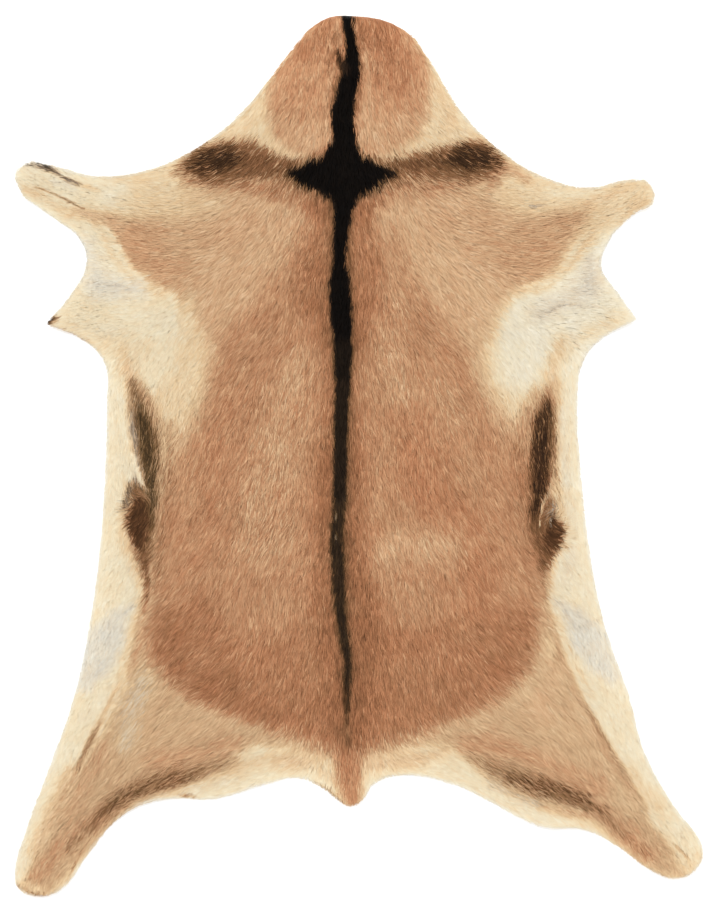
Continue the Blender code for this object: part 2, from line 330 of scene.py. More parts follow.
AREAS = marks(
    Area, "broad areas",
    ("neck", "tan", 10, 1.0, 0.3, (318, 4), (384, 4), (410, 30), (429, 60), (432, 90), (428, 116),
     (415, 138), (398, 150), (370, 158), (320, 158), (294, 152), (278, 140), (269, 120), (267, 98),
     (270, 76), (284, 48), (298, 22)),
    ("right of the neck", "fox", 14, 0.7, 0.3, (366, 10), (396, 26), (414, 56), (418, 84),
     (400, 98), (376, 84), (364, 50)),
    ("shoulders", "fawn", 18, 1.0, 0.3, (130, 222), (190, 196), (250, 188), (336, 192), (420, 188),
     (490, 190), (536, 212), (556, 228), (546, 262), (512, 290), (490, 320), (478, 372), (470, 430),
     (350, 470), (214, 436), (206, 346), (190, 296), (150, 276), (122, 246)),
    ("left foreleg patch", "caramel", 13, 1.0, 0.3, (100, 224), (150, 220), (182, 234), (194, 262),
     (184, 296), (168, 290), (146, 285), (131, 270), (118, 248)),
    ("right foreleg patch", "caramel", 12, 1.0, 0.3, (494, 240), (526, 214), (562, 210), (590, 210),
     (582, 226), (567, 246), (555, 268), (541, 282), (520, 285), (492, 278)),
    ("saddle", "saddle", 20, 1.0, 0.3, (222, 346), (262, 290), (284, 262), (318, 214), (364, 214),
     (394, 250), (416, 290), (448, 326), (474, 370), (500, 414), (524, 434), (538, 452), (544, 520),
     (550, 576), (547, 622), (534, 674), (502, 706), (456, 725), (394, 745), (346, 756), (306, 744),
     (262, 729), (230, 720), (200, 710), (172, 694), (143, 660), (139, 628), (150, 598), (156, 520),
     (164, 474), (182, 444), (204, 396)),
    ("lower saddle", "rust", 15, 0.55, 0.3, (150, 620), (170, 604), (200, 592), (250, 640),
     (320, 626), (420, 624), (490, 600), (534, 612), (534, 642), (520, 677), (492, 703), (450, 723),
     (394, 743), (346, 756), (304, 742), (258, 725), (204, 705), (172, 686), (150, 652)),
    ("left haunch", "sand", 8, 1.0, 0.3, (136, 650), (148, 674), (186, 706), (250, 727), (278, 742),
     (240, 764), (180, 786), (130, 806), (90, 846), (50, 894), (24, 880), (44, 840), (58, 806),
     (82, 768), (107, 728), (126, 690)),
    ("right haunch", "sand", 7, 1.0, 0.3, (560, 620), (552, 656), (518, 704), (450, 724),
     (432, 744), (470, 752), (502, 776), (560, 800), (600, 818), (660, 876), (684, 874), (670, 846),
     (652, 819), (634, 789), (618, 760), (605, 738), (593, 712), (577, 668)),
    ("right belly", "cream", 5, 1.0, 0.3, (584, 340), (560, 376), (556, 400), (556, 480),
     (545, 510), (568, 520), (552, 572), (549, 606), (566, 664), (584, 700), (604, 736), (630, 774),
     (672, 824), (700, 850), (714, 830), (672, 770), (640, 690), (614, 600), (590, 450)),
    ("right thigh strip", "cream", 10, 0.9, 0.3, (584, 680), (600, 716), (618, 752), (636, 784),
     (664, 816), (700, 850), (720, 830), (672, 760), (636, 680)),
    ("left belly", "cream", 6, 1.0, 0.3, (90, 344), (110, 350), (126, 384), (131, 440), (146, 487),
     (126, 480), (118, 540), (140, 590), (138, 606), (118, 684), (96, 728), (78, 768), (56, 806),
     (44, 840), (22, 880), (0, 880), (40, 740), (74, 640), (86, 560), (92, 450)),
    ("left thigh strip", "cream", 10, 0.8, 0.3, (112, 690), (94, 730), (76, 768), (54, 806),
     (36, 850), (0, 850), (40, 740), (70, 680)),
    ("left armpit", "cream", 4, 1.0, 0.3, (84, 206), (106, 217), (116, 240), (132, 268), (152, 284),
     (176, 296), (180, 330), (140, 400), (96, 360), (40, 330), (60, 220)),
    ("left chest", "cream", 10, 1.0, 0.3, (110, 290), (156, 286), (172, 306), (178, 340),
     (176, 366), (160, 386), (146, 396), (136, 392), (128, 380), (110, 352)),
    ("right armpit", "ivory", 4, 1.0, 0.3, (614, 222), (586, 232), (568, 254), (555, 276),
     (526, 287), (508, 310), (520, 340), (560, 380), (590, 350), (640, 330), (620, 240)),
    ("right chest", "ivory", 16, 1.0, 0.3, (560, 290), (524, 294), (506, 312), (494, 344),
     (498, 378), (512, 390), (530, 388), (552, 370), (574, 344)),
    ("left foreleg", "cream", 7, 1.0, 0.3, (10, 150), (70, 156), (100, 178), (132, 186), (130, 204),
     (100, 210), (80, 205), (60, 240), (10, 210)),
    ("left rump", "cream", 8, 0.9, 0.4, (240, 748), (262, 744), (284, 754), (312, 761), (334, 762),
     (338, 800), (318, 790), (280, 788), (240, 800), (200, 806), (160, 798), (206, 780)),
    ("right rump", "cream", 8, 0.8, 0.4, (364, 765), (386, 760), (410, 752), (440, 744), (466, 757),
     (490, 780), (540, 806), (580, 824), (510, 832), (460, 800), (420, 790), (366, 800)),
)

# %% Strokes of the back and the shoulders
# Rusty hair runs along the spine, and paler hair lies over ribs, loin and shoulders.
BACK = marks(
    Stroke, "back and shoulders",
    ("left withers", "rust", 14, 0.6, 0.3, (318, 208, 7), (313, 256, 14), (307, 300, 17)),
    ("right withers", "rust", 12, 0.6, 0.3, (362, 200, 10), (368, 250, 12), (370, 300, 12)),
    ("left ribs, pale", "rose", 16, 0.32, 0.75, (300, 356, 12), (280, 430, 26), (262, 540, 28)),
    ("right ribs, pale", "rose", 14, 0.34, 0.75, (398, 306, 10), (388, 350, 16), (404, 396, 16)),
    ("right flank, pale", "rose", 12, 0.3, 0.7, (436, 384, 10), (454, 420, 12)),
    ("right shoulder, pale", "rose", 16, 0.9, 0.2, (438, 246, 8), (458, 268, 12), (486, 280, 18),
     (480, 330, 10)),
    ("right of the withers", "saddle", 14, 0.8, 0.2, (394, 234, 6), (410, 290, 8), (432, 322, 10)),
    ("right side, red", "fox", 18, 0.8, 0.2, (408, 424, 12), (418, 466, 26), (468, 536, 20),
     (484, 600, 22)),
    ("right loin, pale", "rose", 20, 0.62, 0.4, (384, 550, 12), (420, 544, 16), (448, 546, 17)),
    ("left side, red", "fox", 14, 0.4, 0.2, (232, 350, 10), (226, 400, 12), (200, 560, 12)),
    ("left shoulder, gold", "straw", 12, 0.65, 0.3, (124, 206, 8), (170, 210, 13), (212, 206, 9)),
    ("left shoulder, pale", "rose", 14, 0.6, 0.2, (176, 244, 8), (220, 262, 12), (258, 262, 8)),
    ("left chest, straw rim", "straw", 12, 0.8, 0.3, (186, 316, 4), (194, 350, 5), (196, 384, 5),
     (184, 408, 4)),
    ("right shoulder, gold", "straw", 12, 0.7, 0.3, (500, 200, 6), (534, 208, 10), (560, 204, 7)),
    ("along the spine", "russet", 18, 0.8, 0.3, (341, 200, 18), (341, 240, 10), (341, 290, 22),
     (342, 330, 26), (341, 370, 12), (342, 420, 16), (340, 470, 24), (340, 520, 22), (344, 570, 24),
     (348, 612, 33), (352, 650, 28), (350, 690, 24), (349, 744, 16)),
    ("left of the stripe, rust", "russet", 10, 0.5, 0.3, (324, 470, 4), (322, 520, 4),
     (318, 570, 5), (314, 610, 6)),
    ("left saddle rim", "rust", 12, 0.36, 0.3, (168, 610, 5), (176, 650, 10), (196, 674, 10),
     (240, 702, 12), (300, 724, 14)),
    ("right saddle rim", "rust", 12, 0.18, 0.3, (526, 600, 6), (518, 640, 10), (496, 668, 10),
     (440, 700, 12), (380, 726, 14)),
)

# %% Strokes of the neck
# The neck is red beside its black stripe, and gold at its sides.
NECK = marks(
    Stroke, "neck",
    ("left neck stripe edge, pale", "fawn", 5, 0.3, 0.3, (334, 22, 3), (330, 60, 3), (326, 120, 4)),
    ("neck, lower part", "fawn", 12, 0.55, 0.3, (292, 128, 4), (318, 132, 12), (366, 134, 12),
     (400, 124, 4)),
    ("right neck stripe edge, pale", "rose", 5, 0.25, 0.3, (356, 20, 2), (361, 40, 2), (366, 60, 2),
     (370, 134, 8)),
    ("left neck stripe edge, dark", "umber", 5, 0.6, 0.5, (342, 66, 4), (339, 84, 7), (335, 102, 6),
     (332, 116, 3)),
    ("right neck stripe edge, dark", "russet", 6, 0.6, 0.4, (357, 18, 3), (361, 32, 6),
     (360, 50, 4)),
    ("right neck stripe edge, halo", "umber", 4, 0.55, 0.5, (361, 66, 3), (359, 82, 4),
     (357, 98, 4.5), (355, 112, 4.5)),
    ("neck, haze by the stripe", "umber", 5, 0.4, 0.5, (337, 34, 3), (331, 56, 5), (328, 72, 4)),
    ("neck, red patches", "russet", 12, 0.6, 0.3, (310, 54, 8), (318, 40, 9), (328, 30, 6)),
    ("neck, right red patch", "russet", 14, 0.5, 0.3, (374, 30, 8), (386, 44, 10)),
    ("left of the neck, pale end", "fawn", 10, 0.7, 0.3, (276, 120, 4), (288, 136, 8),
     (306, 144, 9), (322, 146, 5)),
    ("right of the neck, pale end", "fawn", 10, 0.6, 0.3, (370, 140, 9), (394, 138, 11),
     (414, 116, 8)),
    ("right of the neck, gold side", "gold", 10, 0.7, 0.3, (436, 70, 3), (444, 100, 8),
     (450, 124, 8)),
    ("left of the neck, gold side", "gold", 9, 0.4, 0.3, (262, 84, 3), (252, 110, 6),
     (250, 126, 6)),
)

# %% The dark bars beside the cross
# A grizzled dark bar runs out from the cross over each shoulder, rusty below.
BARS = marks(
    Stroke, "dark bars",
    ("left bar, rust below", "russet", 9, 0.6, 0.3, (186, 181, 4), (214, 184, 6), (246, 186, 6),
     (290, 192, 11), (324, 208, 12)),
    ("right bar, rust below", "russet", 10, 0.55, 0.3, (362, 208, 12), (392, 190, 8), (440, 186, 7),
     (494, 180, 5)),
    ("left bar, haze", "umber", 8, 0.84, 0.5, (312, 178, 6), (293, 173, 13), (272, 167, 14),
     (247, 161, 22), (222, 163, 22), (206, 164, 20), (188, 168, 10), (178, 171, 4)),
    ("right bar, haze", "umber", 8, 0.85, 0.5, (372, 178, 7), (392, 172, 12), (413, 168, 14),
     (439, 165, 17), (460, 162, 20), (476, 161, 21), (494, 165, 12)),
    ("right bar, faint end", "caramel", 8, 0.8, 0.4, (498, 167, 7), (512, 171, 5.5), (526, 180, 3)),
    ("cross, brown upper edge, left", "umber", 4, 0.6, 0.4, (286, 163, 3), (302, 161, 3),
     (319, 154, 3)),
    ("cross, brown upper edge, right", "umber", 4, 0.6, 0.4, (368, 157, 3), (380, 161, 3.5),
     (394, 162, 3)),
    ("cross, brown lower edge, right", "umber", 5, 0.55, 0.4, (370, 194, 3), (389, 187, 4),
     (408, 181, 3)),
    ("cross, brown lower edge, left", "umber", 5, 0.4, 0.4, (282, 183, 3), (298, 189, 4),
     (316, 198, 3)),
    ("left bar, dark streak", "bark", 7, 0.28, 0.5, (304, 169, 5), (278, 167, 6), (250, 160, 9)),
    ("right bar, dark streak", "bark", 7, 0.4, 0.5, (388, 169, 5), (414, 165, 6), (440, 160, 8)),
    ("left bar", "soot", 9, 0.72, 0.5, (236, 159, 7), (224, 159, 12), (206, 162, 13),
     (195, 165, 6)),
    ("right bar", "soot", 9, 0.74, 0.5, (450, 160, 6), (464, 158, 12), (484, 159, 12),
     (496, 163, 6)),
)

# %% The black stripe and the cross
# The stripe thins out over the hips, and two arms cross it at the withers.
STRIPE = marks(
    Stroke, "stripe and cross",
    ("dorsal halo", "umber", 6, 0.75, 0.35, (341, 200, 12), (340, 280, 13), (342, 320, 13),
     (344, 400, 10), (343, 440, 9), (340, 520, 10), (342, 610, 9), (347, 680, 6), (347, 712, 3),
     (347, 750, 2)),
    ("dorsal stripe", "black", 3.2, 1.0, 0.5, (346.5, 8, 5), (347.5, 22, 5), (350.5, 40, 5.5),
     (352.5, 62, 7.5), (350, 80, 9.8), (345.4, 98, 9.8), (343.4, 110, 11.6), (342, 121, 11.4),
     (344.6, 136, 11.6), (345.4, 149, 12), (342.5, 157, 18), (342, 166, 20), (343, 180, 21),
     (345, 192, 14.5), (344.5, 202, 11), (343, 212, 9), (340.8, 236, 6.8), (339, 262, 6),
     (340, 282, 10), (340.5, 306, 11), (343, 340, 9), (343, 354, 8.6)),
    ("dorsal stripe, ribs", "jet", 3.2, 1.0, 0.5, (343, 348, 8.8), (342.8, 376, 8.1),
     (342.4, 386, 7.7)),
    ("dorsal stripe, loin", "coal", 3.2, 1.0, 0.45, (342.4, 388, 7.6), (341.7, 404, 6.6),
     (341, 430, 6.6), (340.4, 462, 6.8), (340, 498, 6.6)),
    ("dorsal stripe, hips", "char", 3.4, 1.0, 0.45, (339.6, 506, 6.5), (336.2, 540, 6.2),
     (338.6, 580, 6.4), (340.4, 614, 5.4), (344, 636, 4.4), (348.6, 660, 3.8), (347, 686, 3),
     (346.4, 704, 2.6), (347, 714, 0.5)),
    ("stripe, first pale speck", "smoke", 1.4, 0.7, 0.2, (336, 515, 1), (336, 518, 1)),
    ("stripe, second pale speck", "smoke", 1.4, 0.7, 0.2, (336, 534, 1), (335, 538, 1)),
    ("stripe, fading end", "bark", 4, 0.7, 0.35, (345.5, 690, 3), (347, 722, 1.5)),
    ("stripe, faint end", "umber", 5, 0.3, 0.3, (347, 722, 2), (348.5, 748, 3), (349, 776, 2)),
    ("stripe, grey spur", "soot", 3, 0.85, 0.35, (337, 51, 1.5), (340, 60, 4), (345, 70, 4.5)),
    ("left arm of the cross", "black", 5, 1.0, 0.35, (343, 175, 22), (314, 174.5, 15),
     (302, 175, 9), (291, 174, 4)),
    ("right arm of the cross", "black", 5, 1.0, 0.35, (343, 175, 22), (362, 174, 17.5),
     (374, 174, 11), (394, 174, 3)),
    ("cross, lower part", "black", 6, 1.0, 0.45, (300, 182, 4), (312, 183, 7), (343, 187, 18),
     (376, 184, 6)),
)

# %% Strokes of the flanks
# A dark bar runs down each flank into the pocket where the belly folds.
FLANKS = marks(
    Stroke, "flanks",
    ("left flank, gold above the bar", "gold", 9, 0.8, 0.4, (124, 350, 5), (133, 380, 10),
     (146, 402, 8)),
    ("right belly, by the flank", "bone", 6, 0.8, 0.3, (561, 400, 4), (563, 440, 6), (565, 490, 6),
     (572, 540, 6), (564, 580, 4)),
    ("left flank bar, haze", "loam", 7, 0.8, 0.4, (133, 382, 4), (140, 412, 11), (147, 440, 13),
     (150, 480, 8), (150, 520, 8), (147, 552, 5)),
    ("left flank bar, brown side", "loam", 8, 0.45, 0.4, (142, 388, 4), (152, 406, 5),
     (159, 430, 7), (158, 456, 5), (154, 520, 3), (152, 560, 3)),
    ("left side, haze", "umber", 9, 0.42, 0.4, (171, 426, 5), (168, 500, 5), (158, 560, 4),
     (154, 590, 4)),
    ("left flank bar, grey part", "smoke", 5, 0.5, 0.5, (132, 412, 3), (134, 432, 4), (138, 452, 4),
     (137, 480, 3.5)),
    ("left flank bar", "peat", 7, 0.72, 0.45, (139, 406, 3), (144, 424, 7), (148, 446, 9),
     (151, 476, 6), (151, 500, 4), (149, 524, 4)),
    ("left flank pocket, haze", "umber", 7, 0.85, 0.35, (137, 490, 8.5), (138, 520, 12.5),
     (141, 545, 8.5), (145, 576, 2)),
    ("left flank pocket", "bark", 5, 0.95, 0.4, (140, 506, 8), (138, 524, 11), (140, 542, 7)),
    ("left flank pocket, swirl", "slate", 4, 0.5, 0.6, (124, 508, 4), (127, 496, 4), (131, 488, 4),
     (138, 484, 4), (145, 492, 3)),
    ("left flank tuck", "cream", 1.6, 1.0, 0.2, (126, 444, 1.5), (133, 460, 2.4), (139, 474, 2.4),
     (146, 488, 0.6)),
    ("left flank, dark border", "umber", 4, 0.75, 0.4, (147, 552, 4), (147.5, 584, 3.2),
     (144.5, 612, 1.5)),
    ("right flank bar, haze", "umber", 7, 0.8, 0.4, (551, 388, 5), (543, 416, 13), (542, 450, 13.5),
     (540.5, 480, 12), (537, 524, 11)),
    ("right flank bar, outer haze", "umber", 5, 0.4, 0.5, (554, 430, 2), (555, 470, 4),
     (562, 520, 2), (563, 546, 4)),
    ("right side, haze", "umber", 10, 0.3, 0.4, (524, 410, 3), (520, 450, 6), (520, 510, 6),
     (528, 560, 4)),
    ("right flank, gold above the bar", "gold", 10, 0.75, 0.3, (560, 340, 6), (552, 372, 9),
     (556, 400, 5)),
    ("right flank, tan above the bar", "saddle", 10, 0.7, 0.3, (536, 392, 3), (528, 410, 5),
     (524, 430, 8)),
    ("right flank bar", "soot", 7, 0.76, 0.45, (550, 402, 3), (543, 422, 9), (541.5, 450, 10),
     (540, 480, 8.5), (538, 512, 7)),
    ("right flank bar, grey part", "loam", 4, 0.4, 0.7, (554, 404, 3), (553, 436, 3),
     (552, 474, 3)),
    ("right flank pocket, haze", "umber", 5, 0.85, 0.4, (550, 504, 6), (546, 528, 15),
     (545, 548, 13), (543, 568, 5)),
    ("right flank pocket", "bark", 5, 0.95, 0.4, (555, 531, 10), (552, 545, 9)),
    ("right flank pocket, swirl", "smoke", 4, 0.6, 0.6, (553, 506, 4), (549, 521, 4)),
    ("right flank tuck", "cream", 1.4, 1.0, 0.3, (553, 476, 0.4), (547, 496, 0.7), (541, 508, 0.7),
     (539, 524, 0.4)),
    ("right flank, dark border", "umber", 4, 0.45, 0.6, (540, 560, 3), (546, 590, 2),
     (550, 612, 1)),
)

# %% Strokes of the forelegs and the armpits
# Gold hair rims the brown patches, and grey skin shows in the creased armpits.
FORELEGS = marks(
    Stroke, "forelegs and armpits",
    ("left foreleg, rim of the patch", "gold", 4, 0.5, 0.3, (88, 214, 3), (104, 234, 3),
     (116, 260, 3), (138, 284, 4), (164, 294, 4)),
    ("left foreleg, red of the patch", "fox", 12, 0.2, 0.2, (136, 246, 6), (146, 258, 7),
     (160, 266, 4)),
    ("left foreleg, tan streak", "fawn", 5, 0.75, 0.3, (76, 211, 2), (95, 217, 5), (116, 222, 7)),
    ("right foreleg, rim of the patch", "gold", 7, 0.8, 0.3, (640, 202, 6), (612, 218, 8),
     (590, 238, 7), (572, 262, 4), (546, 288, 2), (520, 292, 2)),
    ("right foreleg, pale end", "cream", 8, 0.6, 0.3, (624, 208, 6), (600, 234, 6)),
    ("right foreleg, top streak", "fawn", 6, 0.3, 0.3, (586, 203, 4), (606, 197, 4), (628, 190, 3)),
    ("right foreleg, pale streak", "cream", 5, 0.8, 0.3, (546, 193, 3), (566, 195, 4),
     (600, 193, 2)),
    ("right foreleg, grey spot", "smoke", 2, 0.6, 0.4, (529, 207, 1.5), (543, 206, 1.5)),
    ("left armpit, grey", "ash", 14, 0.85, 0.3, (88, 244, 6), (94, 268, 9), (100, 286, 12),
     (140, 290, 8)),
    # Painted shade: thin grey lines in the folds of the left armpit.
    ("left armpit, creases", "smoke", 2, 0.4, 0.4, (92, 282, 1), (106, 285, 1.2), (122, 286, 1.2),
     (134, 291, 0.8)),
    ("right armpit, grey", "dove", 12, 0.95, 0.3, (592, 266, 10), (588, 286, 13), (560, 304, 9),
     (536, 314, 6)),
    # Painted shade: thin grey lines in the folds of the right armpit.
    ("right armpit, creases", "smoke", 2, 0.5, 0.4, (538, 318, 1), (552, 310, 2), (566, 305, 0.8),
     (596, 307, 1)),
    ("left elbow flap, gold", "straw", 12, 0.7, 0.3, (70, 326, 8), (100, 344, 10), (150, 350, 8)),
    ("right elbow flap, gold", "straw", 12, 0.7, 0.3, (616, 320, 8), (582, 336, 8), (566, 356, 8)),
    ("left elbow point", "soot", 3.5, 0.8, 0.4, (47, 323, 4), (56, 319, 2.6)),
    # Painted shade along the lower edge of the elbow flap.
    ("left elbow, lower edge", "umber", 2, 0.35, 0.5, (50, 326, 1.6), (64, 330, 1.8), (92, 343, 1)),
    ("left foreleg, grizzle", "slate", 3.5, 0.6, 0.7, (28, 166, 2.5), (40, 165, 4.5), (52, 169, 4)),
    ("left foreleg, black line", "slate", 2.4, 0.8, 0.6, (42, 166, 2.4), (52, 170, 2),
     (60, 175.5, 1.6), (70, 181, 2.2), (79, 184.5, 1.8)),
    ("left foreleg, brown line", "loam", 4, 0.3, 0.45, (82, 185, 1.6), (98, 190, 1)),
    ("left foreleg, gold", "gold", 6, 0.6, 0.3, (24, 190, 4), (40, 196, 4), (70, 214, 5),
     (96, 217, 4)),
    ("left foreleg, grey", "ash", 4, 0.5, 0.3, (54, 181, 3), (66, 185, 3.5), (78, 190, 2.5)),
    # Painted shade: a thin line along a fold of the foreleg.
    ("left foreleg, crease", "loam", 1.6, 0.65, 0.4, (36, 187, 0.4), (58, 196, 1.1), (68, 201, 1.4),
     (84, 209, 0.4)),
)

# %% Strokes of the groins and the haunches
# Gold and brown lines part the haunches from the grey groins and the belly.
HAUNCHES = marks(
    Stroke, "groins and haunches",
    ("left groin, grey", "ash", 8, 0.92, 0.3, (135, 606, 2), (120, 616, 10), (106, 640, 19),
     (95, 664, 16), (86, 684, 8)),
    ("right groin, grey", "ash", 8, 0.9, 0.3, (556, 602, 2), (574, 616, 10), (588, 640, 19),
     (600, 658, 14), (612, 676, 6)),
    # Painted shade: thin grey lines in the folds of the groins.
    ("left groin, crease", "smoke", 2, 0.4, 0.4, (124, 615, 0.6), (132, 608, 1.2), (139, 602, 0.8)),
    ("right groin, creases", "smoke", 2, 0.4, 0.4, (549, 598, 1.2), (560, 602, 0.8),
     (576, 630, 0.6), (590, 621, 1), (602, 617, 1.2)),
    ("left haunch, gold border", "gold", 5, 0.35, 0.3, (139, 600, 2), (132, 634, 2), (121, 668, 2),
     (112, 700, 4)),
    ("left haunch, brown border", "tan", 4, 0.5, 0.3, (145, 606, 2), (140, 640, 3), (130, 676, 3)),
    ("right haunch, gold border", "gold", 4, 0.5, 0.4, (556, 616, 2), (562, 632, 2), (578, 668, 3),
     (592, 696, 2)),
    ("right belly, upper end", "bone", 4, 0.7, 0.3, (549, 592, 3), (551, 608, 3)),
    ("right haunch, brown border", "saddle", 5, 0.42, 0.3, (550, 616, 2), (557, 644, 4),
     (572, 684, 3), (590, 722, 3), (603, 748, 4), (633, 794, 3)),
    ("right haunch, pale", "rose", 10, 0.7, 0.3, (546, 654, 3), (552, 678, 7), (536, 706, 11),
     (562, 716, 8)),
    ("right haunch, gold by the crease", "gold", 8, 0.6, 0.3, (562, 668, 4), (572, 694, 6),
     (592, 740, 3), (612, 780, 6), (634, 806, 6)),
    ("left haunch, grey haze", "ash", 12, 0.5, 0.3, (142, 680, 10), (134, 704, 12), (126, 744, 8)),
    ("left thigh, gold", "gold", 9, 0.9, 0.3, (70, 770, 5), (52, 810, 8), (38, 850, 8)),
    ("right thigh, gold", "gold", 10, 0.5, 0.3, (630, 768, 4), (650, 796, 6), (664, 812, 5)),
    ("left haunch, brown", "tan", 12, 0.6, 0.3, (236, 744, 8), (196, 754, 10), (150, 760, 6)),
    # Painted shade: a soft brown shadow beside the left crease.
    ("left haunch, brown by the crease", "tan", 10, 0.35, 0.3, (102, 744, 5), (86, 780, 8),
     (66, 820, 8)),
    # Painted shade: the faint ends of the left crease's dark line.
    ("left crease, faint ends", "saddle", 4, 0.5, 0.35, (122, 678, 0.2), (110, 702, 1),
     (97, 728, 2), (77, 768, 2.6), (62, 800, 2.2), (50, 824, 0.8)),
    ("right haunch, brown", "tan", 12, 0.7, 0.3, (466, 744, 6), (490, 742, 10), (520, 752, 8),
     (560, 768, 8), (596, 786, 10)),
    ("right haunch, brown by the band", "saddle", 12, 0.5, 0.3, (464, 748, 4), (488, 744, 8),
     (512, 752, 6)),
)

# %% Strokes of the hind legs
# A dark band runs along the inner side of each hind leg, and a crease up its outer, drawn as a line
# of painted shade.
HIND_LEGS = marks(
    Stroke, "hind legs",
    ("left leg, brown", "sand", 9, 0.9, 0.3, (104, 820, 8), (74, 838, 14), (50, 862, 14)),
    ("left leg, tan streak", "tan", 8, 0.6, 0.5, (112, 810, 5), (78, 830, 8), (58, 850, 9),
     (38, 874, 8)),
    ("right leg, brown", "caramel", 9, 0.95, 0.3, (600, 812, 8), (628, 836, 13), (647, 855, 10)),
    ("right leg, dark streak", "umber", 5, 0.25, 0.5, (606, 820, 4), (632, 842, 7), (648, 857, 4)),
    ("right leg, pale end", "cream", 7, 0.75, 0.3, (650, 816, 5), (672, 835, 8), (690, 849, 7)),
    ("right leg, cut", "umber", 2, 0.6, 0.4, (674, 844, 0.6), (688, 858, 1)),
    ("left hind band, haze", "loam", 11, 0.6, 0.4, (236, 762, 3), (206, 770, 9), (160, 782, 13),
     (122, 798, 11), (96, 820, 8), (72, 846, 4)),
    ("left hind band", "bark", 9, 0.42, 0.5, (196, 774, 4), (166, 781, 8), (136, 790, 8),
     (112, 804, 6), (94, 822, 2)),
    ("right hind band, haze", "loam", 11, 0.58, 0.4, (470, 756, 3), (500, 772, 10), (540, 787, 13),
     (576, 800, 9), (604, 815, 6), (624, 832, 2)),
    ("right hind band", "bark", 9, 0.52, 0.5, (508, 778, 4), (530, 784, 8), (556, 789, 9),
     (580, 798, 6), (602, 810, 2)),
    # Painted shade: the dark lines of the two creases.
    ("left crease", "loam", 3.5, 0.75, 0.35, (102, 720, 0.4), (95, 733, 1.8), (86, 750, 2.2),
     (78, 768, 1)),
    ("right crease", "loam", 4, 0.55, 0.35, (585, 704, 0.5), (596, 724, 2.4), (608, 745, 2),
     (619, 764, 1.4), (632, 786, 1), (646, 808, 0.5)),
)

# %% Strokes of the rump, the tail and the edges
# The rump is gold round the red tail, and the cut edge is painted darker in places.
RUMP = marks(
    Stroke, "rump, tail and edges",
    ("left rump, gold", "gold", 8, 0.7, 0.3, (276, 758, 6), (306, 762, 8), (330, 772, 6)),
    ("left rump, rosy", "rose", 9, 0.35, 0.3, (206, 784, 4), (236, 770, 8), (264, 760, 8),
     (300, 768, 4)),
    ("right rump, gold", "gold", 8, 0.9, 0.3, (372, 764, 7), (398, 762, 8), (422, 758, 8),
     (444, 750, 4)),
    ("right thigh edge, orange", "tan", 5, 0.6, 0.4, (540, 806, 2), (566, 812, 3), (592, 816, 2)),
    ("right thigh edge, grey", "smoke", 6, 0.35, 0.4, (490, 784, 4), (516, 796, 4), (540, 804, 3)),
    ("left thigh edge, grey", "bone", 6, 0.7, 0.4, (136, 804, 3), (180, 794, 5), (214, 782, 6),
     (240, 778, 5)),
    ("tail", "fox", 7, 0.85, 0.35, (349, 762, 13), (349, 776, 14), (352, 800, 9)),
    ("tail, dark edge", "umber", 3, 0.6, 0.45, (316, 782, 1), (330, 790, 2), (342, 802, 1)),
    ("left thigh edge, dark tufts", "umber", 2, 0.6, 0.45, (176, 795, 0.5), (188, 795, 1.1),
     (200, 797, 0.5)),
    ("left leg cut, dark tufts", "bark", 3, 0.6, 0.45, (18, 884, 1), (34, 892, 2), (50, 896, 1)),
    # Painted shade along a folded edge of the left leg.
    ("left leg, dark edge", "umber", 1.5, 0.5, 0.5, (96, 832, 0.5), (82, 850, 0.9), (70, 876, 0.5)),
)

STROKES = (*BACK, *NECK, *BARS, *STRIPE, *FLANKS, *FORELEGS, *HAUNCHES, *HIND_LEGS, *RUMP)
print("areas and strokes:", len(AREAS), len(STROKES))


# %% Paint the coat
def fade(depth, soft):
    """0 outside, 1 inside, and smooth over the soft edge."""
    return ease(np.clip(depth / (2 * soft) + 0.5, 0, 1))


def stroke_depth(x, y, points):
    """How far inside a stroke places are. It is below 0 outside."""
    deepest = np.full(np.shape(x), -np.inf)
    for start, end in segments(points):
        distance, share = distance_to_segment(x, y, start, end)
        half_width = start[2] + (end[2] - start[2]) * share
        deepest = np.maximum(deepest, half_width - distance)
    return deepest


def near(x, y, mark):
    """The places that a marking can reach."""
    points = np.array([point[:2] for point in mark.points])
    widest = max(point[2] if len(point) > 2 else 0 for point in mark.points)
    low, high = points.min(0) - widest - mark.soft, points.max(0) + widest + mark.soft
    return (x > low[0]) & (x < high[0]) & (y > low[1]) & (y < high[1])


def paint(x, y, chance):
    """The shade and warmth of hairs at these pixels. Chance is each hair's own, from 0 to 1."""
    shade = np.full(len(x), PIGMENTS["straw"].shade)
    warmth = np.full(len(x), PIGMENTS["straw"].warmth)
    for mark in (*AREAS, *STROKES):
        here = near(x, y, mark)
        depth_of = depth_inside if isinstance(mark, Area) else stroke_depth
        share = mark.share * fade(depth_of(x[here], y[here], mark.points), mark.soft)
        picked = chance[here] < share
        share = share * (1 - mark.grain) + picked * mark.grain
        pigment = PIGMENTS[mark.pigment]
        shade[here] += (pigment.shade - shade[here]) * share
        warmth[here] += (pigment.warmth - warmth[here]) * share
    return shade, warmth


cross_shade, cross_warmth = paint(*np.array([[342.0], [170.0], [0.5]]))
print("shade and warmth of the cross:", cross_shade.round(2), cross_warmth.round(2))

# %% [markdown]
# ## Which way the hair lies
#
# On the back it lies straight to the tail. It turns outwards over the shoulders and down the legs,
# and the two sides are alike. In the editor it would be combed by hand. Here each row is one comb
# stroke: how far out from the spine, how far down the photograph, and the angle outwards from
# straight to the tail. Between the rows the direction is their average, and the near rows count
# most. Two whorls turn the hair round the flank pockets.

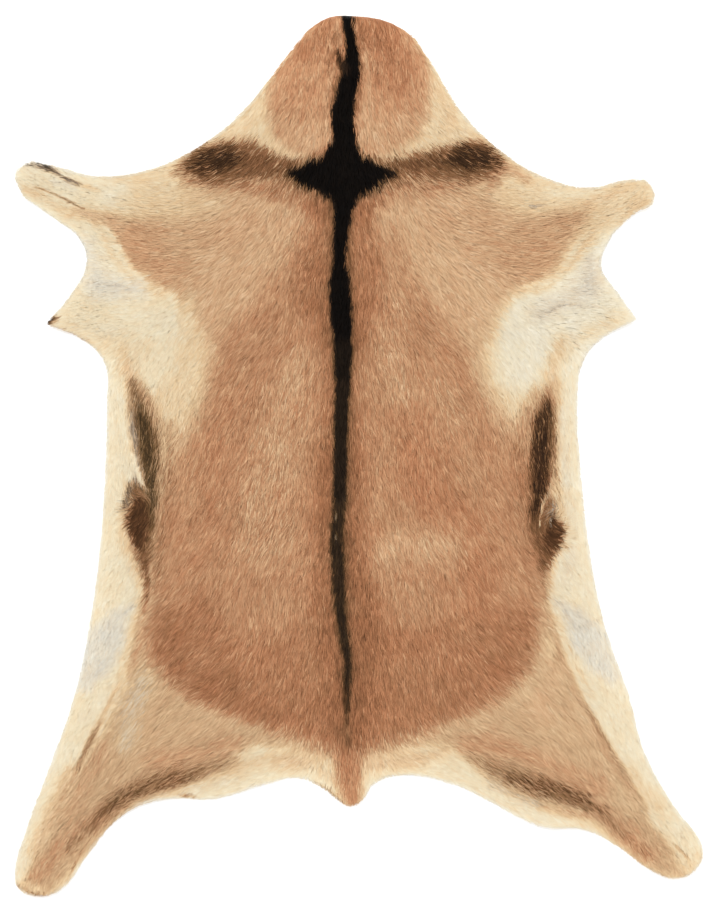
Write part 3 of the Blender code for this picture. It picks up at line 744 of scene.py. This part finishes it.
# %% Comb strokes, in pixels and degrees
SPINE_DOWN = (15, 100, 170, 240, 340, 440, 520, 600, 680, 800)
SPINE_ACROSS = (348, 347, 341, 339, 342, 341, 336, 341, 348, 349)
COMB_REACH = 34
FAR_WEIGHT = 1e-6  # what a comb stroke still counts far away
PARTING = 12  # how far from the spine the hair has turned to its own side
WHORL_PULL = 1.8

Comb = namedtuple("Comb", "name out down outwards")
COMBS = (
    Comb("neck", 0, 30, 0), Comb("neck", 45, 70, 8), Comb("neck", 0, 120, 0),
    Comb("side of the neck", 90, 120, 44), Comb("side of the neck", 50, 130, 14),
    Comb("withers", 0, 200, 0), Comb("shoulder", 50, 165, 32), Comb("shoulder", 95, 165, 62),
    Comb("shoulder", 145, 172, 75), Comb("shoulder", 55, 225, 22), Comb("shoulder", 100, 225, 52),
    Comb("shoulder", 150, 230, 82), Comb("upper foreleg", 200, 230, 97),
    Comb("foreleg", 250, 200, 102), Comb("foreleg end", 300, 185, 112),
    Comb("elbow", 240, 282, 96), Comb("armpit", 200, 300, 82), Comb("elbow flap", 285, 322, 74),
    Comb("chest", 150, 320, 44), Comb("chest", 90, 300, 30), Comb("back", 0, 300, 0),
    Comb("ribs", 185, 362, 20), Comb("ribs", 120, 370, 30), Comb("ribs", 55, 400, 12),
    Comb("flank", 205, 425, 6), Comb("flank", 150, 450, 22), Comb("back", 0, 450, 0),
    Comb("belly", 230, 480, 12), Comb("loin", 60, 510, 14), Comb("loin", 125, 530, 26),
    Comb("back", 0, 600, 0), Comb("hip", 200, 610, 38), Comb("hip", 150, 620, 33),
    Comb("loin", 70, 630, 10), Comb("groin", 245, 640, 24), Comb("haunch", 205, 690, 46),
    Comb("haunch", 145, 690, 50), Comb("haunch", 150, 745, 60), Comb("rump", 85, 690, 18),
    Comb("rump", 80, 755, 64), Comb("rump", 30, 700, 4), Comb("tail", 0, 790, 0),
    Comb("thigh", 235, 730, 30), Comb("thigh", 200, 790, 58), Comb("shank", 265, 800, 40),
    Comb("shank", 305, 830, 34), Comb("hind leg end", 325, 875, 28),
)

Whorl = namedtuple("Whorl", "name x y reach turns")
WHORLS = (
    Whorl("left flank pocket", 136, 498, 13, 1),
    Whorl("right flank pocket", 552, 516, 13, -1),
)


def lie_of_hair(x, y):
    """Which way the hair lies at pixels of the photograph, as two maps of the hide's x and y."""
    out = x - np.interp(y, SPINE_DOWN, SPINE_ACROSS)
    side = np.tanh(out / PARTING)
    total_x, total_y = 0, 0
    for comb in COMBS:
        apart = ((np.abs(out) - comb.out) ** 2 + (y - comb.down) ** 2) / COMB_REACH**2
        weight = np.exp(-apart) + FAR_WEIGHT / (1 + apart)
        angle = math.radians(comb.outwards)
        total_x = total_x + weight * math.sin(angle) * side
        total_y = total_y - weight * math.cos(angle)
    for whorl in WHORLS:
        across, down = (x - whorl.x) / whorl.reach, (y - whorl.y) / whorl.reach
        weight = WHORL_PULL * whorl.turns * np.exp(-(across**2) - down**2)
        total_x, total_y = total_x - weight * down, total_y - weight * across
    length = np.hypot(total_x, total_y)
    return total_x / length, total_y / length


lie_x_map, lie_y_map = lie_of_hair(*to_photo(spot_x, spot_y))
print("comb strokes and whorls:", len(COMBS), len(WHORLS))

# %% [markdown]
# ## How long and how thick the coat is
#
# The hair is longest on the haunches. It is shorter in the armpits and groins, on the legs and at
# the end of the neck, and a little sparser in the groins and on the forelegs. Each row says how
# much of the back's length and of its number of hairs is left in the middle of such a place.

# %% Length and thickness of the coat
HAIR_LENGTH = 17 * MM
Cover = namedtuple("Cover", "name x y reach_x reach_y length count")
COVERS = (
    Cover("left armpit", 112, 286, 58, 62, 0.80, 1.0),
    Cover("right armpit", 580, 284, 56, 60, 0.80, 1.0),
    Cover("left groin", 100, 645, 42, 88, 0.70, 0.9),
    Cover("right groin", 600, 648, 42, 88, 0.70, 0.9),
    Cover("left foreleg", 48, 188, 64, 40, 0.66, 0.9),
    Cover("right foreleg", 620, 202, 62, 40, 0.66, 0.9),
    Cover("left hind leg", 50, 850, 62, 74, 0.74, 1.0),
    Cover("right hind leg", 668, 836, 62, 70, 0.74, 1.0),
    Cover("neck end", 350, 24, 90, 40, 0.80, 1.0),
    Cover("left haunch", 170, 730, 100, 80, 1.35, 1.0),
    Cover("right haunch", 540, 730, 100, 80, 1.35, 1.0),
)


def cover(x, y):
    """The length and the number of hairs at these pixels, as shares of those on the back."""
    length, count = np.ones(np.shape(x)), np.ones(np.shape(x))
    for row in COVERS:
        apart = np.hypot((x - row.x) / row.reach_x, (y - row.y) / row.reach_y)
        weight = (1 - np.minimum(apart, 1) ** 2) ** 2
        length *= 1 - (1 - row.length) * weight
        count *= 1 - (1 - row.count) * weight
    return length, count


print("places with a length of their own:", len(COVERS))

# %% [markdown]
# ## The locks of the coat
#
# Hairs of a lying coat stick together in flat pointed locks of a few dozen. Blender's hair curves
# could draw them, but a mesh looks the same in any program. So one lock is a leaf of four points
# that rises from the skin and lies down again, and half a million of them cover the hide like
# shingles. The locks of one tuft lean together, which gives the coat its grain, and those near
# the cut edge splay outwards over it.

# %% Where the locks grow
LOCK_COUNT = 478_000
random = np.random.default_rng(11)

spacing = math.sqrt(hide_area / LOCK_COUNT)
grid_x = np.arange(cad_low.x, cad_high.x, spacing)
grid_y = np.arange(cad_low.y, cad_high.y, spacing)
root_x, root_y = (part.ravel() for part in np.meshgrid(grid_x, grid_y))
root_x = root_x + random.uniform(-0.5, 0.5, len(root_x)) * spacing
root_y = root_y + random.uniform(-0.5, 0.5, len(root_y)) * spacing
length_share, count_share = cover(*to_photo(root_x, root_y))
grown = (read(edge_map, root_x, root_y) > 0) & (random.random(len(root_x)) < count_share)
root_x, root_y, length_share = root_x[grown], root_y[grown], length_share[grown]
print("locks:", len(root_x))

# %% Which way each lock lies
TUFT = 3.6 * MM
TUFT_WANDER = 2.2 * MM
TUFT_NET = NET * 4
SLOW_TURN, QUICK_TURN, TUFT_TURN, LOCK_TURN = 9, 9, 7, 5  # degrees
EDGE_SPLAY = 0.55  # at the edge itself, where 1 would be as much as the hair's own direction
SPLAY_WIDTH = 5 * MM


def tuft_value(seed):
    """One value from -1 to 1 for each lock, the same for all locks of a tuft."""
    values = np.random.default_rng(seed).uniform(-1, 1, (TUFT_NET, TUFT_NET))
    return values[tuft_row, tuft_column]


tuft_x = root_x + TUFT_WANDER * drift(root_x, root_y, 7 * MM, seed=21)
tuft_y = root_y + TUFT_WANDER * drift(root_x, root_y, 7 * MM, seed=22)
tuft_column = np.floor(tuft_x / TUFT).astype(int) % TUFT_NET
tuft_row = np.floor(tuft_y / TUFT).astype(int) % TUFT_NET
from_middle_x = tuft_x - (np.floor(tuft_x / TUFT) + 0.5) * TUFT
from_middle_y = tuft_y - (np.floor(tuft_y / TUFT) + 0.5) * TUFT

turn = np.radians(
    SLOW_TURN * drift(root_x, root_y, 26 * MM, seed=23)
    + QUICK_TURN * drift(root_x, root_y, 9 * MM, seed=24)
    + TUFT_TURN * tuft_value(seed=25)
    + random.normal(0, LOCK_TURN, len(root_x))
)
lie_x, lie_y = read(lie_x_map, root_x, root_y), read(lie_y_map, root_x, root_y)
lie_x, lie_y = (
    lie_x * np.cos(turn) - lie_y * np.sin(turn),
    lie_x * np.sin(turn) + lie_y * np.cos(turn),
)
splay = EDGE_SPLAY * np.clip(1 - read(edge_map, root_x, root_y) / SPLAY_WIDTH, 0, 1)
lie_x = lie_x - splay * read(inwards_x_map, root_x, root_y)
lie_y = lie_y - splay * read(inwards_y_map, root_x, root_y)
lie_length = np.hypot(lie_x, lie_y)
lie_x, lie_y = lie_x / lie_length, lie_y / lie_length
across_x, across_y = -lie_y, lie_x
off_line = from_middle_x * across_x + from_middle_y * across_y
print("locks that splay at the edge:", np.count_nonzero(splay))

# %% How long and wide each lock is
LOCK_WIDTH = 0.9 * MM
LENGTH_RANGE = (0.7, 1.2)
WIDTH_RANGE = (0.7, 1.25)
OVERHANG = 0.6 * MM
FRINGE = 1.4 * MM  # how much more or less than that a tuft overhangs the edge
CUTS = 9
CUT_TO = 0.8  # what one cut leaves of a lock that reaches too far

lock_length = HAIR_LENGTH * length_share * random.uniform(*LENGTH_RANGE, len(root_x))
overhang = OVERHANG + FRINGE * tuft_value(seed=29)
for _ in range(CUTS):
    tip_x, tip_y = root_x + lie_x * lock_length, root_y + lie_y * lock_length
    too_far = read(edge_map, tip_x, tip_y) < -overhang
    lock_length[too_far] *= CUT_TO
lock_width = LOCK_WIDTH * random.uniform(*WIDTH_RANGE, len(root_x))
print("lock length, mm:", round(lock_length.mean() / MM, 1))

# %% Colour of each lock
SEEN_AT = 0.65  # how far along a lock it is seen most
RAGGED = 0.8  # pixels by which the border of a marking wanders
LOCK_CHANCE, TUFT_CHANCE = 0.8, 0.2  # how much of a lock's chance is its own, and its tuft's
STREAK_WIDTH = 1.6 * MM
STREAK_STEP = 1.2 * MM
STREAK_STEPS = range(-3, 4)
PALE_FROM, PALE_WITHIN = 0.72, 0.12  # the shade where pale begins, and how soon it is full
LOCK_SHADE, STREAK_SHADE, CLOUD_SHADE = 0.026, 0.030, 0.014
LOCK_WARMTH, CLOUD_WARMTH = 0.04, 0.05
# Near the cut edge the coat is painted paler and greyer: partly its own grey-white fringe, partly
# painted light that offsets the shade on the edge locks, which tilt down away from the lamp.
EDGE_FADE = 3 * MM
EDGE_LIGHTENING, EDGE_GREYING = 0.02, 0.2


def streak(seed):
    """A random value for each lock, mostly from -2 to 2, that stays alike along the hair."""
    total = 0
    for step in STREAK_STEPS:
        run = step * STREAK_STEP
        total = total + drift(root_x + lie_x * run, root_y + lie_y * run, STREAK_WIDTH, seed)
    return total / total.std()


seen_x = root_x + lie_x * lock_length * SEEN_AT
seen_y = root_y + lie_y * lock_length * SEEN_AT
shown_x, shown_y = to_photo(seen_x, seen_y)
shown_x = shown_x + RAGGED * drift(root_x, root_y, 5 * MM, seed=31)
shown_y = shown_y + RAGGED * drift(root_x, root_y, 5 * MM, seed=32)
tuft_chance = (tuft_value(seed=33) + 1) / 2
chance = np.clip(random.random(len(root_x)) * LOCK_CHANCE + TUFT_CHANCE * tuft_chance, 0, 1)
shade, warmth = paint(shown_x, shown_y, chance)
pale = np.clip((shade - PALE_FROM) / PALE_WITHIN, 0, 1)
varied = 4 * shade * (1 - shade)  # 1 in the middle, and 0 at black and at white
shade = shade + varied * (
    random.normal(0, LOCK_SHADE, len(root_x))
    + STREAK_SHADE * streak(seed=34)
    + CLOUD_SHADE * drift(root_x, root_y, 22 * MM, seed=35)
)
warmth = (
    warmth
    + random.normal(0, LOCK_WARMTH, len(root_x))
    + CLOUD_WARMTH * drift(root_x, root_y, 18 * MM, seed=36)
)
# painted light at the cut edge, together with the fringe's own grey
near_edge = np.clip(1 - read(edge_map, seen_x, seen_y) / EDGE_FADE, 0, 1)
shade, warmth = shade + EDGE_LIGHTENING * near_edge, warmth + EDGE_GREYING * near_edge
print("mean shade and warmth:", round(shade.mean(), 3), round(warmth.mean(), 3))

# %% How high each lock lies
WIDEST_AT = 0.5  # how far along a lock it is widest
MIDDLE_RISE = 0.82  # how much of its layer a lock has reached there
TUFT_GATHER = 0.55  # how far a tip leans to the middle line of its tuft
LEATHER = 1.4 * MM
THINNEST_COAT = 0.4 * MM
LOWEST = 0.2 * MM
ROOT_DEPTH = 0.2 * MM
LAYER_FROM, LAYER_OVER, LAYER_POWER = 0.3, 0.7, 0.8  # a layer of 1 is the coat's full depth
TUFT_LAYER, STREAK_LAYER = 0.12, 0.07
LAYER_ENDS = (0.2, 1.15)
LOCK_ROLL, TUFT_ROLL = 10, 8  # degrees
PALE_CALM = 0.82  # how much smoother the pale parts lie

calm = 1 - PALE_CALM * pale
layer = LAYER_FROM + LAYER_OVER * random.random(len(root_x)) ** LAYER_POWER
layer = layer + TUFT_LAYER * tuft_value(seed=26) + STREAK_LAYER * streak(seed=28)
layer = 1 - (1 - np.clip(layer, *LAYER_ENDS)) * calm
roll = np.radians(random.normal(0, LOCK_ROLL, len(root_x)) + TUFT_ROLL * tuft_value(seed=27)) * calm


def skin_height(x, y):
    """The height of the leather's upper side."""
    return read(lower_map, x, y) + LEATHER


def coat_depth(x, y):
    """How deep the coat lies on the leather."""
    return np.maximum(read(upper_map, x, y) - read(lower_map, x, y) - LEATHER, THINNEST_COAT)


middle_x = root_x + lie_x * lock_length * WIDEST_AT
middle_y = root_y + lie_y * lock_length * WIDEST_AT
gather = TUFT_GATHER * off_line
tip_x = root_x + lie_x * lock_length - across_x * gather
tip_y = root_y + lie_y * lock_length - across_y * gather
side_x = across_x * lock_width / 2 * np.cos(roll)
side_y = across_y * lock_width / 2 * np.cos(roll)
side_z = lock_width / 2 * np.sin(roll)
root_z = skin_height(root_x, root_y) - ROOT_DEPTH
middle_z = skin_height(middle_x, middle_y) + MIDDLE_RISE * layer * coat_depth(middle_x, middle_y)
middle_z = np.maximum(middle_z, cad_low.z + LOWEST + np.abs(side_z))
tip_z = skin_height(tip_x, tip_y) + layer * coat_depth(tip_x, tip_y)
tip_z = np.maximum(tip_z, cad_low.z + LOWEST)
print("mean height of the tips, mm:", round(tip_z.mean() / MM, 1))

# %% [markdown]
# ## Colours that the markings mix
#
# Three ramps run from black to white through one pigment each, and warmth mixes them. The colours
# are written as on screen. The renderer counts light, so one function turns them to linear values.
# Every node of a material comes from one small function that sets and links it.

# %% Colour and node helpers
FOX_RAMP = (
    (0.03, "#080504"), (0.15, "#2f1f16"), (0.27, "#553621"), (0.37, "#7d5237"),
    (0.47, "#a56e4b"), (0.55, "#bc805b"), (0.63, "#ce9a72"), (0.72, "#ddb48c"),
    (0.85, "#e7ceb0"), (1.00, "#f6ecdf"),
)
STRAW_RAMP = (
    (0.03, "#080605"), (0.15, "#2e2318"), (0.27, "#564229"), (0.37, "#775a3a"),
    (0.50, "#a6835f"), (0.60, "#bf9c77"), (0.70, "#cfaf88"), (0.80, "#e0c49a"),
    (0.90, "#e7dabb"), (1.00, "#f4efe2"),
)
GREY_RAMP = (
    (0.03, "#070606"), (0.20, "#353231"), (0.35, "#5a5853"), (0.50, "#82807a"),
    (0.65, "#a8a59c"), (0.80, "#cbcac2"), (0.90, "#dedcd3"), (1.00, "#f2f0e9"),
)


def linear(colour):
    """A colour written as on screen, as the linear values that the renderer counts with."""
    parts = [int(colour[at : at + 2], 16) / 255 for at in (1, 3, 5)]
    return [c / 12.92 if c <= 0.04045 else ((c + 0.055) / 1.055) ** 2.4 for c in parts] + [1]


def add_node(tree, kind, inputs=None, **settings):
    """Adds a node, makes its settings, and gives each input a value or a link."""
    made = tree.nodes.new(kind)
    for name, value in settings.items():
        setattr(made, name, value)
    for name, value in (inputs or {}).items():
        if isinstance(value, bpy.types.NodeSocket):
            tree.links.new(value, made.inputs[name])
        else:
            made.inputs[name].default_value = value
    return made


def set_stops(ramp_node, stops):
    """Gives a colour ramp these stops."""
    ramp = ramp_node.color_ramp
    while len(ramp.elements) < len(stops):
        ramp.elements.new(0.5)
    for element, (place, colour) in zip(ramp.elements, stops):
        element.position = place
        element.color = linear(colour)
    return ramp_node.outputs["Color"]


def new_material(name):
    """An empty material with a shader that its nodes will feed."""
    material = bpy.data.materials.new(name)
    material.use_nodes = True
    tree = material.node_tree
    return material, tree, tree.nodes["Principled BSDF"]


def hair_colour(tree, darker=0.0):
    """The colour that a surface's own shade and warmth give."""
    shade_node = add_node(tree, "ShaderNodeAttribute", attribute_name="shade")
    warmth_node = add_node(tree, "ShaderNodeAttribute", attribute_name="warmth")
    lowered = add_node(
        tree, "ShaderNodeMath", {0: shade_node.outputs["Fac"], 1: darker}, operation="SUBTRACT"
    )
    ramps = []
    for stops in (FOX_RAMP, STRAW_RAMP, GREY_RAMP):
        ramp = add_node(tree, "ShaderNodeValToRGB", {"Fac": lowered.outputs[0]})
        ramps.append(set_stops(ramp, stops))
    to_straw, to_grey = (
        add_node(
            tree, "ShaderNodeMapRange",
            {"Value": warmth_node.outputs["Fac"], "From Min": low, "From Max": low + 0.5},
        )
        for low in (0.0, 0.5)
    )
    # A mix node's colours are its inputs 6 and 7 and its output 2.
    warm = add_node(
        tree, "ShaderNodeMix", {0: to_straw.outputs[0], 6: ramps[0], 7: ramps[1]}, data_type="RGBA"
    )
    mixed = add_node(
        tree, "ShaderNodeMix", {0: to_grey.outputs[0], 6: warm.outputs[2], 7: ramps[2]},
        data_type="RGBA",
    )
    return mixed.outputs[2]


print("stops of the ramps:", len(FOX_RAMP), len(STRAW_RAMP), len(GREY_RAMP))

# %% Goat hair
def goat_hair():
    """Short straight goat hair, brushed flat. Keratin gives it a soft, broad shine."""
    material, tree, shader = new_material("goat hair, combed flat")
    tree.links.new(hair_colour(tree), shader.inputs["Base Color"])
    shader.inputs["Roughness"].default_value = 0.55
    shader.inputs["IOR"].default_value = 1.45
    shader.inputs["Specular IOR Level"].default_value = 0.04
    return material


hair = goat_hair()
print("material:", hair.name)

# %% [markdown]
# ## Make the coat
#
# One leaf is made once, from a circle of four points, and its two faces are copied for each lock.
# The coat is laid in five lengths from the neck to the tail, because one mesh would be too heavy.
# Each lock's colour is also its place in a colour chart, kept as a UV map.

# %% The leaf and the five lengths of coat
COAT_PIECES = ("coat_neck", "coat_shoulders", "coat_back", "coat_loin", "coat_rump")
ROOT_SHIFT = -0.030  # a lock is a little darker at its root,
TIP_SHIFT = 0.022  # and paler at its tip
CHART_HALF_HEIGHT = 0.004  # gives a lock some area in the chart, where it would be a line
CHART_ENDS = (0.02, 0.98)
SHIFTS = np.array([ROOT_SHIFT, 0, 0, TIP_SHIFT])


def add_object(name, data):
    """Puts a mesh, a lamp or a camera into the scene."""
    added = bpy.data.objects.new(name, data)
    bpy.context.scene.collection.objects.link(added)
    return added


def set_colour(mesh, shades, warmths):
    """Keeps a shade and a warmth at every point of a mesh."""
    for label, values in (("shade", shades), ("warmth", warmths)):
        attribute = mesh.attributes.new(label, "FLOAT", "POINT")
        attribute.data.foreach_set("value", values.astype(np.float32))


def leaf():
    """The faces of one lock, whose points are its root, its two sides and its tip."""
    shape = bmesh.new()
    bmesh.ops.create_circle(shape, cap_ends=True, radius=1, segments=4)
    bmesh.ops.triangulate(shape, faces=shape.faces)
    order = {}
    for vert in shape.verts:
        if abs(vert.co.y) > 0.5:
            order[vert.index] = 0 if vert.co.y > 0 else 3
        else:
            order[vert.index] = 1 if vert.co.x < 0 else 2
    faces = [[order[vert.index] for vert in face.verts] for face in shape.faces]
    shape.free()
    return np.array(faces)


def coat_piece(name, locks):
    """The mesh of these locks, with their shade and warmth at every point."""
    corners = (
        (root_x, root_y, root_z),
        (middle_x + side_x, middle_y + side_y, middle_z + side_z),
        (middle_x - side_x, middle_y - side_y, middle_z - side_z),
        (tip_x, tip_y, tip_z),
    )
    places = np.stack([np.stack(corner, 1)[locks] for corner in corners], 1).reshape(-1, 3)
    firsts = np.arange(len(locks))[:, None, None] * len(corners)
    faces = (firsts + leaf()[None]).reshape(-1, 3)
    mesh = bpy.data.meshes.new(name)
    mesh.from_pydata(places, [], faces)
    shades = np.clip(shade[locks][:, None] + SHIFTS, *CHART_ENDS).ravel()
    warmths = np.clip(warmth[locks], *CHART_ENDS)[:, None] + np.zeros(len(corners))
    set_colour(mesh, shades, warmths.ravel())
    chart = np.stack([shades, (warmths + CHART_HALF_HEIGHT * np.array([0, 1, -1, 0])).ravel()], 1)
    chart_map = mesh.uv_layers.new(name="OFBake")
    chart_map.data.foreach_set("uv", chart[faces.ravel()].astype(np.float32).ravel())
    mesh.materials.append(hair)
    mesh.shade_smooth()
    return add_object(name, mesh)


from_neck = np.argsort(-root_y, kind="stable")
coat = [
    coat_piece(name, locks)
    for name, locks in zip(COAT_PIECES, np.array_split(from_neck, len(COAT_PIECES)))
]
print("triangles in each length:", [len(piece.data.polygons) for piece in coat])

# %% [markdown]
# ## The leather
#
# Under the coat is one sheet of goat leather, 1.4 mm thick. It is the outline of the solid filled
# with one face, cut into small squares so that it can follow the folds, and thickened upwards.
# Its two sides differ: buffed flesh below, and above it skin that is full of hair roots.

# %% Cut the leather
LEATHER_PITCH = 8 * MM
TRIM = 1.0 * MM
SHORTEST_STEP = 2.5 * MM


def trim_edge(shape):
    """Moves the edge a little inwards, so that the coat hides it from above."""
    places = []
    verts = [vert for vert in shape.verts if any(edge.is_boundary for edge in vert.link_edges)]
    for vert in verts:
        ends = [edge.other_vert(vert).co for edge in vert.link_edges if edge.is_boundary]
        along = (ends[1] - ends[0]).normalized()
        inwards = Vector((-along.y, along.x, 0)) * TRIM
        x, y = vert.co.x + inwards.x, vert.co.y + inwards.y
        better = read(edge_map, np.array([x]), np.array([y]))[0] > 0
        places.append(vert.co + (inwards if better else -inwards))
    for vert, place in zip(verts, places):
        vert.co = place


def cut_squares(shape, pitch):
    """Cuts the sheet along X and along Y."""
    for axis in (0, 1):
        normal = Vector((1 - axis, axis, 0))
        for place in np.arange(cad_low[axis] + pitch / 2, cad_high[axis], pitch):
            bmesh.ops.bisect_plane(
                shape,
                geom=[*shape.verts, *shape.edges, *shape.faces],
                dist=WELD,
                plane_co=normal * place,
                plane_no=normal,
            )


def leather_mesh():
    """The underside of the solid as one trimmed sheet, cut in squares and laid on its folds."""
    shape = underside
    bmesh.ops.dissolve_faces(shape, faces=shape.faces)
    bmesh.ops.remove_doubles(shape, verts=shape.verts, dist=SHORTEST_STEP)
    trim_edge(shape)
    for vert in shape.verts:
        vert.co.z = 0
    cut_squares(shape, LEATHER_PITCH)
    x, y = np.array([vert.co.xy[:] for vert in shape.verts]).T
    for vert, height in zip(shape.verts, read(lower_map, x, y)):
        vert.co.z = height
    shape.normal_update()
    if next(iter(shape.faces)).normal.z < 0:
        bmesh.ops.reverse_faces(shape, faces=shape.faces)
    mesh = bpy.data.meshes.new("leather")
    shape.to_mesh(mesh)
    shape.free()
    return mesh


leather_sheet = leather_mesh()
print("leather faces:", len(leather_sheet.polygons))

# %% Finish of the leather
CLOUD_SIZE = 90 * MM
FIBRE_SIZE = 1.6 * MM  # real fibres are finer, but wouldn't show
SUEDE_STOPS = ((0.32, "#d8c9b0"), (0.5, "#e2d6c0"), (0.7, "#ebe2d1"))


def suede():
    """Buffed flesh side of alum-tanned goat: pale, matt and fibrous, with cloudy patches."""
    material, tree, shader = new_material("goat suede, buffed")
    spot = add_node(tree, "ShaderNodeTexCoord").outputs["Object"]
    clouds = add_node(
        tree, "ShaderNodeTexNoise", {"Vector": spot, "Scale": 1 / CLOUD_SIZE, "Detail": 5.0}
    )
    colour = add_node(tree, "ShaderNodeValToRGB", {"Fac": clouds.outputs["Fac"]})
    tree.links.new(set_stops(colour, SUEDE_STOPS), shader.inputs["Base Color"])
    fibres = add_node(
        tree, "ShaderNodeTexNoise", {"Vector": spot, "Scale": 1 / FIBRE_SIZE, "Detail": 3.0}
    )
    bump = add_node(
        tree, "ShaderNodeBump",
        {"Height": fibres.outputs["Fac"], "Strength": 0.5, "Distance": 0.3 * MM},
    )
    tree.links.new(bump.outputs["Normal"], shader.inputs["Normal"])
    shader.inputs["Roughness"].default_value = 0.92
    shader.inputs["Sheen Weight"].default_value = 0.2
    return material


def skin_with_roots():
    """Grain side under the coat: the hair roots give it the coat's colour, a little darker."""
    material, tree, shader = new_material("goat skin, full of hair roots")
    tree.links.new(hair_colour(tree, darker=0.05), shader.inputs["Base Color"])
    shader.inputs["Roughness"].default_value = 0.7
    return material


def make_leather():
    """The sheet with a finish on each side, made thick by a modifier."""
    mesh = leather_sheet
    x, y = np.array([vert.co.xy[:] for vert in mesh.vertices]).T
    set_colour(mesh, *paint(*to_photo(x, y), np.full(len(x), 0.5)))
    mesh.materials.append(skin_with_roots())
    mesh.materials.append(suede())
    mesh.shade_smooth()
    sheet = add_object("leather", mesh)
    solidify = sheet.modifiers.new("thickness", "SOLIDIFY")
    solidify.thickness = LEATHER
    solidify.offset = 1
    solidify.material_offset = 1
    solidify.material_offset_rim = 1
    return sheet


leather = make_leather()

# %% [markdown]
# ## Put it on its body
#
# The leather stands for the imported solid and carries the coat.

# %% Bodies
HIDE_BODY = "root"
for piece in (leather, *coat):
    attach(piece, HIDE_BODY)
    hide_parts("hide")

# %% [markdown]
# ## Floor, light and camera
#
# The hide lies on a plain white floor in even light, so that only its own colours show. The floor
# has a faint glow of its own, because the photograph's ground is white up to the edge of the hide.
# A broad lamp on the neck's side gives the locks a lit and a shaded side. The camera looks
# straight down, from far enough that the curled ends don't spread.

# %% Floor
FLOOR_HALF = 3.0
FLOOR_GAP = 0.3 * MM
FLOOR_GLOW = 0.15


def white_floor():
    """Matt white paper on a light table, which keeps the ground white up to the edge."""
    material, _, shader = new_material("matt white paper")
    shader.inputs["Base Color"].default_value = linear("#f7f7f7")
    shader.inputs["Roughness"].default_value = 0.9
    shader.inputs["Specular IOR Level"].default_value = 0.0
    shader.inputs["Emission Color"].default_value = (1, 1, 1, 1)
    shader.inputs["Emission Strength"].default_value = FLOOR_GLOW
    shape = bmesh.new()
    bmesh.ops.create_grid(shape, x_segments=1, y_segments=1, size=FLOOR_HALF)
    bmesh.ops.translate(shape, verts=shape.verts, vec=(0, 0, cad_low.z - FLOOR_GAP))
    mesh = bpy.data.meshes.new("floor")
    shape.to_mesh(mesh)
    shape.free()
    mesh.materials.append(material)
    floor = add_object("floor", mesh)


white_floor()
print("floor, m:", 2 * FLOOR_HALF)

# %% Light
SKY_STRENGTH = 1.0
LAMP_STRENGTH = 1.15
LAMP_FROM = (-0.12, 0.55, 1.0)
LAMP_SPREAD = 40


def light_the_room():
    """An even white sky and one broad lamp."""
    world = bpy.data.worlds.new("even white room")
    world.use_nodes = True
    background = world.node_tree.nodes["Background"].inputs
    background["Color"].default_value = (1, 1, 1, 1)
    background["Strength"].default_value = SKY_STRENGTH
    bpy.context.scene.world = world
    lamp = bpy.data.lights.new("broad lamp", "SUN")
    lamp.energy = LAMP_STRENGTH
    lamp.angle = math.radians(LAMP_SPREAD)
    holder = add_object("broad lamp", lamp)
    holder.rotation_euler = Vector(LAMP_FROM).to_track_quat("Z", "Y").to_euler()
    bpy.context.scene.view_settings.view_transform = "Standard"


light_the_room()
print("sky and lamp:", SKY_STRENGTH, LAMP_STRENGTH)

# %% Camera
CAMERA_HEIGHT = 4.0


def overhead_camera():
    """The photograph's frame: its long side is the sensor's 36 mm."""
    data = bpy.data.cameras.new("overhead")
    data.sensor_width = 36
    data.lens = data.sensor_width * CAMERA_HEIGHT / (PHOTO_SIZE[1] * pixel)
    camera = add_object("overhead", data)
    camera.location = (*from_photo(PHOTO_SIZE[0] / 2, PHOTO_SIZE[1] / 2), CAMERA_HEIGHT)
    bpy.context.scene.camera = camera
    return data


print("lens, mm:", round(overhead_camera().lens, 1))
